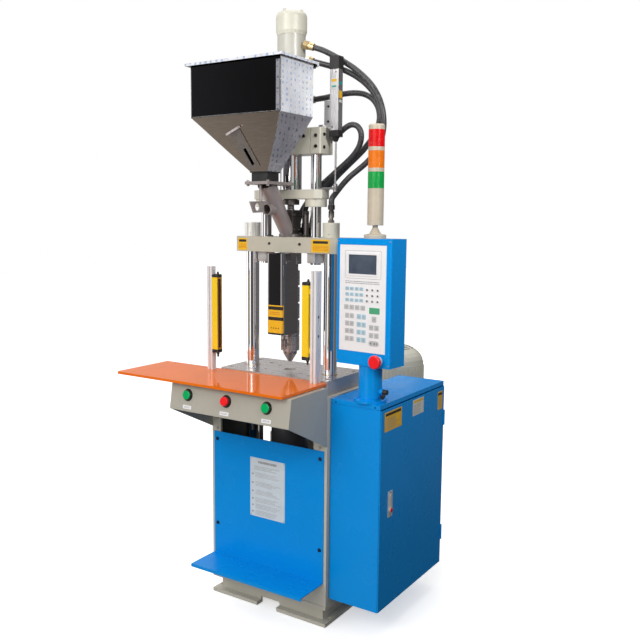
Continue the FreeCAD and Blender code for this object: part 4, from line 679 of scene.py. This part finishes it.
bm = bmesh.new()
wrapped(bm, 24, 62, 916, 1010, 0.25, 0)
wrapped(bm, 14, 50, 995, 1006, 0.33, 1)
wrapped(bm, 16, 56, 961, 972, 0.33, 1)
wrapped(bm, 24, 62, 916, 920, 0.33, 1)
for i in range(4):
    plate(bm, Vector((-14 + 9.5 * i, -88, 936)), X, Z, 4.4, 4.4, 0.33, 2.1, 0.04, 1, 0.2)
rows_of(bm, Vector((0, -88.25, 984)), X, Z, 40, 12, 2, 0.1, 0.34, 61, 2, False, (3, 8))
finish_mesh("barrel_cover_label", bm, "clamp", [label_yellow, label_black, label_orange])
# upper platen, right part of the front face and left part
def platen_label(name, x0, w, z, h, seed):
    made = label_block("", "", Vector((x0, -36, z)), X, Z, w, h, [(0, 0, w, h, label_yellow), (0, h * 0.28, w * 0.82, h * 0.2, label_black)])
    bm, mats = made
    mats.append(label_orange)
    rows_of(bm, Vector((x0, -36.25, z - h * 0.16)), X, Z, w * 0.84, h * 0.42, 4, 0.12, 0.4, seed, len(mats) - 1, False, (2, 7))
    done(name, made, "clamp")


platen_label("platen_label_right", 139, 68, 1202, 41, 3)
platen_label("platen_label_left", -171, 38, 1202, 40, 4)
# cabinet side, above the door line the labels sit on the cabinet's right face
def side_label(name, y, z, w, h, base, band, seed):
    o = Vector((404.0 if z > 722 else 407.0, y, z))
    made = label_block("", "", o, Y, Z, w, h, [(0, 0, w, h, base), (0, h * 0.36, w * 0.9, h * 0.14, band)])
    bm, mats = made
    mats.append(line_grey)
    rows_of(bm, o + X * 0.25 - Z * h * 0.12, Y, Z, w * 0.82, h * 0.6, 7, 0.12, 0.36, seed, len(mats) - 1, True, (3, 12))
    done(name, made, "door")


side_label("door_label_front", -34, 683, 112, 60, label_yellow, label_black, 8)
side_label("door_label_middle", 139, 690, 80, 52, label_pale, label_yellow, 9)
side_label("door_label_rear", 309, 678, 38, 62, label_yellow, label_black, 10)
# instruction plate on the front panel
made = label_block("", "", Vector((3.5, -131.5, 409.5)), X, Z, 139, 199, [(0, 0, 139, 199, plate_white)], t=0.8, r=2.5)
bm, mats = made
mats.append(line_grey)
bm_o = Vector((3.5, -132.3, 409.5))
rows_of(bm, bm_o + Z * 86, X, Z, 74, 11, 1, 0.1, 0.7, 21, 1, False, (5, 11))
rows_of(bm, bm_o + Z * 66, X, Z, 104, 15, 3, 0.1, 0.36, 22, 1, True)
for i, z in enumerate((44, 14, -14, -40, -62, -84)):
    plate(bm, bm_o + X * -59 + Z * z, X, Z, 8, 5.5, 0.1, 2.6, 0.03, 1, 0.05)
    rows_of(bm, bm_o + X * 6 + Z * (z - 2), X, Z, 108, 17, 4, 0.1, 0.32, 30 + i, 1, True)
done("instruction_plate", made, "machine")
bm = bmesh.new()
for x in (-62, 69):
    for z in (314, 505):
        turned(bm, Vector((x, -132.3, z)), -Y, [(2.2, -0.2), (2.2, 0.5), (1.5, 0.9), (0.01, 1.0)], 16)
finish_mesh("plate_rivets", bm, "machine", zinc)
# tag plates under the console buttons
lean = math.atan2(14, 85)
down = Vector((0, -math.sin(lean), -math.cos(lean)))
outward = Vector((0, -math.cos(lean), math.sin(lean)))
bm = bmesh.new()
bm2 = bmesh.new()
for k, x in enumerate((-158, -9.5, 148)):
    c = Vector((x, -328.8, 739)) + down * 38
    plate(bm, c, X, -down, 34, 11.5, 0.6, 1.2, 0.1)
    rows_of(bm2, c + outward * 0.6, X, -down, 26, 6, 2, 0.08, 0.4, 50 + k, 0, False, (3, 8))
finish_mesh("button_tags", bm, "machine", white_film)
finish_mesh("button_tag_print", bm2, "machine", line_grey)

# ------------------------------------------------------------------ screws and small fittings
bm = bmesh.new()
for x, z in ((-120, 1545), (-75, 1545), (75, 1545), (120, 1545), (120, 1512), (-120, 1512)):
    cap_screw(bm, Vector((x, -38, z)), -Y, 5.5, 3.0)
for y, z in ((-18, 1549), (-18, 1510)):
    cap_screw(bm, Vector((137, y, z)), X, 5.5, 3.0)
for a in range(0, 360, 60):
    r = math.radians(a + 30)
    cap_screw(bm, Vector((48.5 * math.cos(r), 48.5 * math.sin(r), 1584)) * 1.0, Z, 3.0, 2.6)
finish_mesh("top_block_screws", bm, "clamp", black_fit)
bm = bmesh.new()
for x in (-62, 62):
    for y in (-22, 48):
        cap_screw(bm, Vector((x, y, 1228)), Z, 6.5, 5.0)
for z in (1206,):
    for x in (-60, 60):
        cap_screw(bm, Vector((x, -36, z)), -Y, 4.5, 2.4)
finish_mesh("platen_screws", bm, "clamp", black_fit)
bm = bmesh.new()
for x, y, z in ((118.5, -14, 1386), (126, -11, 1386)):
    turned(bm, Vector((x + 5, y + 6, 1384)), Z, [(3.4, -0.2), (3.4, 1.6), (2.6, 2.4), (0.01, 2.6)], 16)
finish_mesh("arm_screws", bm, "inject", black_fit)
bm = bmesh.new()
for z in (1588, 1634):
    cap_screw(bm, Vector((146, -8, z)), -Y, 3.6, 2.6)
for z in (1570, 1735):
    turned(bm, Vector((164 if z < 1600 else 176, -14, z)), -Y, [(2.0, -0.2), (2.0, 0.6), (1.4, 0.9), (0.01, 1.0)], 14)
finish_mesh("sensor_screws", bm, "clamp", black_fit)
# sensor body stickers: plain fields
b = label_block("", "", Vector((185, -1, 1668)), Y, Z, 18, 30, [(0, 0, 18, 22, label_yellow), (0, 34, 14, 9, teal), (0, -20, 14, 8, label_pale)])
done("sensor_stickers", b, "clamp")
b = label_block("", "", Vector((170, -14, 1700)), X, Z, 20, 40, [(0, 0, 22, 34, label_pale), (0, 10, 18, 8, label_yellow), (0, -8, 16, 5, teal)])
done("sensor_front_sticker", b, "clamp")

# light curtain: end caps and dark windows on the two bars
bm = bmesh.new()
for x, y, z0, z1 in ((-201.5, -135, 846, 1103), (156, -135, 857, 1095)):
    for z, h, top in ((z1 - 9, 10.0, True), (z0 - 2.5, 11.5, False)):
        steps = ((0.0, z), (0.6, z + 0.6), (0.6, z + h - 1.5), (-0.9, z + h)) if top else ((-0.9, z), (0.6, z + 1.5), (0.6, z + h - 0.6), (0.0, z + h))
        rings(bm, [[Vector((x + px, y + py, zz)) for px, py in outline(23 + 2 * grow, 24 + 2 * grow, 2.0, 3)] for grow, zz in steps])
    turned(bm, Vector((x + 2, y + 2, z0 - 2.5)), -Z, [(5.0, -0.3), (5.0, 5.0), (3.4, 6.0), (3.4, 14.0), (2.2, 15.0)], 20)
    turned(bm, Vector((x + 2, y + 3, z1 + 1)), Z, [(4.2, -0.3), (4.2, 3.4), (3.2, 4.6), (3.2, 7.6), (2.4, 8.4)], 18)
finish_mesh("curtain_bar_caps", bm, "machine", black)
bm = bmesh.new()
plate(bm, Vector((-191.5, -135, 974.5)), Y, Z, 13.6, 228.5, 1.2, 0.4, 0.15)
plate(bm, Vector((146, -135, 976)), -Y, Z, 13.6, 209.5, 1.2, 0.4, 0.15)
finish_mesh("curtain_windows", bm, "machine", window_dark)
# screws in the posts' side slots
bm = bmesh.new()
for x, y in ((-214, -136), (193, -127)):
    for z in (930, 989):
        turned(bm, Vector((x, y, z)), X, [(4.2, -5.2), (4.2, -0.6), (3.2, 0.2), (0.01, 0.3)], 16)
finish_mesh("post_screws", bm, "machine", black_fit)

# hopper: bright folded edges, film strip at the front corner, outlet hem
bm = bmesh.new()


def strip_on(bm, a, b, w, normal, t=0.5, r=0.5):
    """A narrow raised hem from a to b lying on a face with that outward normal."""
    d = (b - a).normalized()
    n = (normal - d * normal.dot(d)).normalized()
    v = n.cross(d).normalized()
    plate(bm, (a + b) / 2, d, v, (b - a).length, w, t, r, 0.12, sink=0.4, steps=2)


f_up = Vector((0, -1, 0))
strip_on(bm, Vector((125.2, -238, 1600)), Vector((125.2, -238, 1744)), 3.0, f_up)
strip_on(bm, Vector((-213.4, -238, 1600)), Vector((-213.4, -238, 1744)), 2.4, f_up)
strip_on(bm, Vector((-213, -238, 1598.3)), Vector((125, -238, 1598.3)), 2.6, f_up, 0.2)
strip_on(bm, Vector((127, -236.6, 1600)), Vector((127, -236.6, 1744)), 2.4, X)
finish_mesh("hopper_folded_edges", bm, "clamp", bright_edge)
bm = bmesh.new()
# the film strip carries the darker painted-shade film
plate(bm, Vector((117.2, -238, 1671)), X, Z, 12.6, 143, 0.3, 0.8, 0.08)
finish_mesh("hopper_film_strip", bm, "clamp", painted_shade_film)
n_slope = Vector((0, -0.9312, -0.3646))
bm = bmesh.new()
strip_on(bm, Vector((-31, -173.4, 1433.5)), Vector((31, -173.4, 1433.5)), 4.0, n_slope, 0.7)
strip_on(bm, Vector((33.6, -172.5, 1434)), Vector((125.6, -236.6, 1594)), 2.6, (n_slope + X * 0.4).normalized(), 0.6)
strip_on(bm, Vector((-33.4, -172.8, 1434)), Vector((-213.2, -236.8, 1594)), 2.4, (n_slope - X * 0.5).normalized(), 0.5)
finish_mesh("hopper_slope_edges", bm, "clamp", bright_edge)

# heater band clamp screws
bm = bmesh.new()
for z in (877, 929, 984, 1039, 1094):
    cap_screw(bm, Vector((10.5, -35.5, z)), X, 3.4, 3.0)
finish_mesh("heater_band_screws", bm, "clamp", zinc)

# cabinet: seam screws of the lid, the lock's red dot and the lock plate rivets
bm = bmesh.new()
for x in (250, 386):
    turned(bm, Vector((x, -113, 731)), -Y, [(2.6, -0.2), (2.6, 0.7), (1.6, 1.1), (0.01, 1.2)], 16)
finish_mesh("cabinet_lid_screws", bm, "machine", screw_dark)
bm = bmesh.new()
turned(bm, Vector((413.6, -47, 402)), X, [(7.6, -0.2), (7.6, 0.8), (6.6, 1.3), (0.01, 1.4)], 28)
finish_mesh("lock_dot", bm, "handle", red_btn)
bm = bmesh.new()
turned(bm, Vector((409, -47, 386.5)), X, [(3.0, -0.2), (3.0, 0.6), (2.2, 1.0), (0.01, 1.1)], 18)
turned(bm, Vector((409, -47, 456.5)), X, [(2.6, -0.2), (2.6, 0.5), (1.9, 0.9), (0.01, 1.0)], 18)
finish_mesh("lock_plate_rivets", bm, "door", zinc)

# pump motor: cooling ribs round the body, screws of the fan cowl, and dark arcs standing for the cowl's slots, painted
# shade
MX, MY = 142.0, 500.0
bm = bmesh.new()
for k in range(46):
    a = 2 * math.pi * k / 46
    d = Vector((math.cos(a), math.sin(a), 0))
    plate(bm, Vector((MX, MY, 652)) + d * 100, Vector((-d.y, d.x, 0)), Z, 2.6, 188, 3.2, 0.9, 0.5, sink=1.2, steps=2)
finish_mesh("motor_ribs", bm, "machine", beige_cast)
bm = bmesh.new()
for k in range(4):
    a = math.radians(20 + 90 * k)
    d = Vector((math.cos(a), math.sin(a), 0))
    cap_screw(bm, Vector((MX, MY, 762)) + d * 98.1, d, 3.6, 2.2)
finish_mesh("motor_cowl_screws", bm, "machine", zinc)
dome_profile = [(98.5 * math.cos(math.radians(a)), 757 + 67 * math.sin(math.radians(a))) for a in (0, 12, 24, 36, 48, 60, 72, 82)] + [(0.0, 824.0)]


def dome_z(r):
    for (r0, z0), (r1, z1) in zip(dome_profile, dome_profile[1:]):
        if r1 <= r <= r0:
            return z0 + (z1 - z0) * (r0 - r) / (r0 - r1)
    return 824.0


# painted shade: dark arcs sunk in the cowl stand for the shade inside its slots
bm = bmesh.new()
for r in (18, 28, 38, 48, 58):
    for q in range(4):
        loops = []
        for i in range(15):
            a = math.radians(90 * q + 7 + 76 * i / 14)
            loops.append([Vector((MX + rr * math.cos(a), MY + rr * math.sin(a), dome_z(rr) + h))
                          for rr, h in ((r - 1.9, -0.4), (r + 1.9, -0.4), (r + 1.9, 0.25), (r - 1.9, 0.25))])
        rings(bm, loops)
finish_mesh("motor_cowl_slots_painted_shade", bm, "machine", rubber)
# tank: lid screws, weld seam below the lid, level gauge at the back
bm = bmesh.new()
for x, y in [(x, 205) for x in (-205, -105, 0, 105, 205)] + [(x, 615) for x in (-205, -105, 0)] + \
        [(-205, y) for y in (305, 410, 515)] + [(205, y) for y in (305, 390)]:
    cap_screw(bm, Vector((x, y, 500)), Z, 6.0, 5.0)
finish_mesh("tank_lid_screws", bm, "machine", zinc)
bm = bmesh.new()
strip_on(bm, Vector((-217, 630, 487)), Vector((217, 630, 487)), 5.0, Y, 1.6)
strip_on(bm, Vector((-220, 193, 487)), Vector((-220, 627, 487)), 5.0, -X, 1.6)
strip_on(bm, Vector((220, 193, 487)), Vector((220, 627, 487)), 5.0, X, 1.6)
finish_mesh("tank_weld_seam", bm, "machine", beige)
bm = bmesh.new()
plate(bm, Vector((-150, 630, 330)), -X, Z, 28, 150, 5.0, 8.0, 0.8, 0, 0.5)
plate(bm, Vector((-150, 635, 330)), -X, Z, 15, 104, 1.6, 4.0, 0.5, 1, 0.3)
plate(bm, Vector((-150, 636.6, 318)), -X, Z, 7, 66, 0.4, 3.0, 0.1, 2, 0.3)
for z in (264, 396):
    cap_screw(bm, Vector((-150, 635, z)), Y, 5.0, 3.0, 3)
finish_mesh("tank_level_gauge", bm, "machine", [black, white_film, label_orange, zinc])
# cabinet back: pressed louvres, with a dark strip under each standing for the shade in its opening, painted shade
bm = bmesh.new()
bm2 = bmesh.new()
for x in (276, 360):
    for z in [150 + 20 * i for i in range(6)] + [590 + 20 * i for i in range(5)]:
        o = Vector((x, 343, z))
        n_out = Vector((0, 1, 0))
        section = [(0.0, 5.0, -0.3), (0.0, 5.0, 0.0), (2.2, 2.6, 1.0), (3.6, -1.6, 2.2), (3.6, -2.4, 2.4), (0.0, -2.4, 1.2)]
        loops = []
        for side, grow in ((-1, 0.0), (-1, 0.55), (-1, 1.0), (1, 1.0), (1, 0.55), (1, 0.0)):
            half = 31 - 5 * (1 - grow)
            loops.append([o + X * side * half + n_out * (max(0.0, out) * (grow if out > 0 else 1.0) - (0.4 if out == 0.0 else 0.0)) + Z * up for out, up, _ in section])
        rings(bm, loops)
        # painted shade: a dark strip in the louvre's opening
        plate(bm2, o - Z * 4.4, -X, Z, 54, 3.2, 0.12, 0.8, 0.04, sink=0.1, steps=2)
finish_mesh("cabinet_louvres", bm, "machine", blue)
finish_mesh("cabinet_louvre_slots_painted_shade", bm2, "machine", rubber)
# control box back: service cover, its screws, and dark bars standing for cooling slots, painted shade
bm = bmesh.new()
plate(bm, on_box(97.5, 84, 1041), -BX, Z, 172, 350, 1.4, 3.0, 0.4)
finish_mesh("box_back_cover", bm, "control", blue)
bm = bmesh.new()
for u in (18, 97.5, 177):
    for z in (874, 1208):
        cap_screw(bm, on_box(u, 85.4, z), BY, 3.2, 1.8)
finish_mesh("box_back_screws", bm, "control", zinc)
bm = bmesh.new()
for u in (62, 133):
    for z in [912 + 11 * i for i in range(6)] + [1112 + 11 * i for i in range(6)]:
        # painted shade: dark bars for the shade inside the cooling slots
        plate(bm, on_box(u, 85.4, z), -BX, Z, 50, 3.6, 0.12, 1.7, 0.04, sink=0.1, steps=3)
finish_mesh("box_back_slots_painted_shade", bm, "control", rubber)

# console: bolts of the frame
bm = bmesh.new()
for x in (-205, 205):
    for z in (604, 640):
        cap_screw(bm, Vector((x, -131.5, z - 20)), -Y, 3.4, 2.0)
finish_mesh("frame_screws", bm, "machine", zinc)

# ------------------------------------------------------------------ stage, light and camera
floor_mat, ft, fs, fw = blank("studio_floor")
ft.links.new(ramp(ft, noise(ft, fw, 0.8, 3.0), [(0.3, (0.90, 0.90, 0.90)), (0.7, (0.93, 0.93, 0.93))]), fs.inputs["Base Color"])
fs.inputs["Roughness"].default_value = 0.6
bm = bmesh.new()
bmesh.ops.create_grid(bm, x_segments=8, y_segments=8, size=14)
me = bpy.data.meshes.new("studio_floor")
bm.to_mesh(me)
bm.free()
floor = bpy.data.objects.new("studio_floor", me)
floor.location = (0, 3, -0.0005)
me.materials.append(floor_mat)
bpy.context.scene.collection.objects.link(floor)
floor.visible_diffuse = False
floor.visible_glossy = False
fs.inputs["Emission Color"].default_value = (1, 1, 1, 1)
fs.inputs["Emission Strength"].default_value = 0.5

world = bpy.data.worlds.new("studio")
bpy.context.scene.world = world
world.use_nodes = True
wt = world.node_tree
wt.nodes.clear()
w_out = wt.nodes.new("ShaderNodeOutputWorld")
d = wt.nodes.new("ShaderNodeTexCoord").outputs["Generated"]
ws = wt.nodes.new("ShaderNodeSeparateXYZ")
wt.links.new(d, ws.inputs[0])


def smooth(v, a, b):
    r = wt.nodes.new("ShaderNodeMapRange")
    r.interpolation_type = "SMOOTHSTEP"
    r.inputs["From Min"].default_value = a
    r.inputs["From Max"].default_value = b
    wt.links.new(v, r.inputs["Value"])
    return r.outputs["Result"]


flat = maths(wt, "SQRT", maths(wt, "ADD", maths(wt, "MULTIPLY", ws.outputs["X"], ws.outputs["X"]), maths(wt, "MULTIPLY", ws.outputs["Y"], ws.outputs["Y"])))
flat = maths(wt, "MAXIMUM", flat, 0.001)
hx, hy = maths(wt, "DIVIDE", ws.outputs["X"], flat), maths(wt, "DIVIDE", ws.outputs["Y"], flat)


def toward(degrees):
    """Cosine of the compass angle between a direction and this heading."""
    a = math.radians(degrees)
    return maths(wt, "ADD", maths(wt, "MULTIPLY", hx, math.cos(a)), maths(wt, "MULTIPLY", hy, math.sin(a)))


def cosd(degrees):
    return math.cos(math.radians(degrees))


standing = maths(wt, "MULTIPLY", smooth(ws.outputs["Z"], -0.6, -0.35), maths(wt, "SUBTRACT", 1.0, smooth(ws.outputs["Z"], 0.25, 0.45)))
sky = maths(wt, "SUBTRACT", 0.84, maths(wt, "MULTIPLY", smooth(toward(5), 0.0, 0.9), 0.46))
level = maths(wt, "ADD", 0.05, maths(wt, "MULTIPLY", smooth(ws.outputs["Z"], 0.16, 0.75), sky))
below = maths(wt, "MULTIPLY", smooth(maths(wt, "MULTIPLY", ws.outputs["Z"], -1.0), 0.14, 0.5), smooth(toward(-140), -0.3, 0.4))
level = maths(wt, "ADD", level, maths(wt, "MULTIPLY", below, 0.17))
horizon = maths(wt, "MULTIPLY", smooth(toward(56), cosd(45), cosd(25)), smooth(ws.outputs["Z"], -0.36, -0.33))
level = maths(wt, "ADD", level, maths(wt, "MULTIPLY", horizon, 0.10))
backdrop = maths(wt, "MULTIPLY", smooth(toward(170), 0.42, 0.95), maths(wt, "SUBTRACT", 0.95, maths(wt, "MULTIPLY", smooth(ws.outputs["Z"], -0.02, 0.05), 0.42)))
level = maths(wt, "ADD", level, backdrop)
for heading, half, gain in ((-101, 13, 1.25), (-36, 11, 0.5), (-160, 9, 0.7), (8, 7, 0.2)):
    box_on = maths(wt, "MULTIPLY", smooth(toward(heading), cosd(half + 4), cosd(half)), standing)
    level = maths(wt, "ADD", level, maths(wt, "MULTIPLY", box_on, gain))
studio = wt.nodes.new("ShaderNodeBackground")
wt.links.new(level, studio.inputs["Strength"])
studio.inputs["Color"].default_value = (1.0, 0.995, 0.985, 1)
plain = wt.nodes.new("ShaderNodeBackground")
plain.inputs["Color"].default_value = (1, 1, 1, 1)
plain.inputs["Strength"].default_value = 1.0
pathn = wt.nodes.new("ShaderNodeLightPath")
wmix = wt.nodes.new("ShaderNodeMixShader")
wt.links.new(pathn.outputs["Is Camera Ray"], wmix.inputs[0])
wt.links.new(studio.outputs[0], wmix.inputs[1])
wt.links.new(plain.outputs[0], wmix.inputs[2])
wt.links.new(wmix.outputs[0], w_out.inputs["Surface"])


def area(name, at, target, w, h, power, colour=(1, 1, 1)):
    light = bpy.data.lights.new(name, "AREA")
    light.shape = "RECTANGLE"
    light.size, light.size_y, light.energy, light.color = w, h, power, colour
    o = bpy.data.objects.new(name, light)
    bpy.context.scene.collection.objects.link(o)
    o.location = at
    o.rotation_euler = (Vector(target) - Vector(at)).to_track_quat("-Z", "Y").to_euler()
    return o


area("key_light", (-0.5, -3.7, 3.1), (0, 0, 0.9), 1.8, 1.6, 62, (1.0, 0.985, 0.96))
area("front_fill", (1.15, -3.9, 2.3), (0, 0, 1.2), 1.4, 1.4, 26, (1.0, 0.99, 0.97))
area("fill_light", (2.6, -1.2, 2.6), (0.1, 0, 1.3), 1.0, 1.2, 2, (0.95, 0.97, 1.0))
high_fill = area("high_fill", (2.4, -1.0, 2.2), (0.1, -0.15, 1.62), 0.7, 0.5, 5.0, (1.0, 1.0, 1.0))
high_fill.data.spread = math.radians(62)
area("top_light", (0.0, 0.6, 3.9), (0, 0, 1.0), 2.6, 2.6, 30)

cam = bpy.data.cameras.new("camera")
cam_o = bpy.data.objects.new("camera", cam)
bpy.context.scene.collection.objects.link(cam_o)
az, el, roll = math.radians(33.54), math.radians(6.94), math.radians(0.40)
right0 = Vector((math.cos(az), math.sin(az), 0))
back = Vector((math.sin(az) * math.cos(el), -math.cos(az) * math.cos(el), math.sin(el)))
up0 = back.cross(right0)
right = right0 * math.cos(roll) + up0 * math.sin(roll)
up = up0 * math.cos(roll) - right0 * math.sin(roll)
cam_o.matrix_world = Matrix((
    (right.x, up.x, back.x, 1.49125), (right.y, up.y, back.y, -2.1559), (right.z, up.z, back.z, 1.2861), (0, 0, 0, 1)))
cam.sensor_width = 36
cam.lens = 796.16 / 640 * 36
cam.shift_x = (320 - 305.87) / 640
cam.shift_y = (315.98 - 320) / 640
cam.clip_end = 100
bpy.context.scene.camera = cam_o
bpy.context.scene.view_settings.view_transform = "Standard"
bpy.context.scene.view_settings.look = "None"
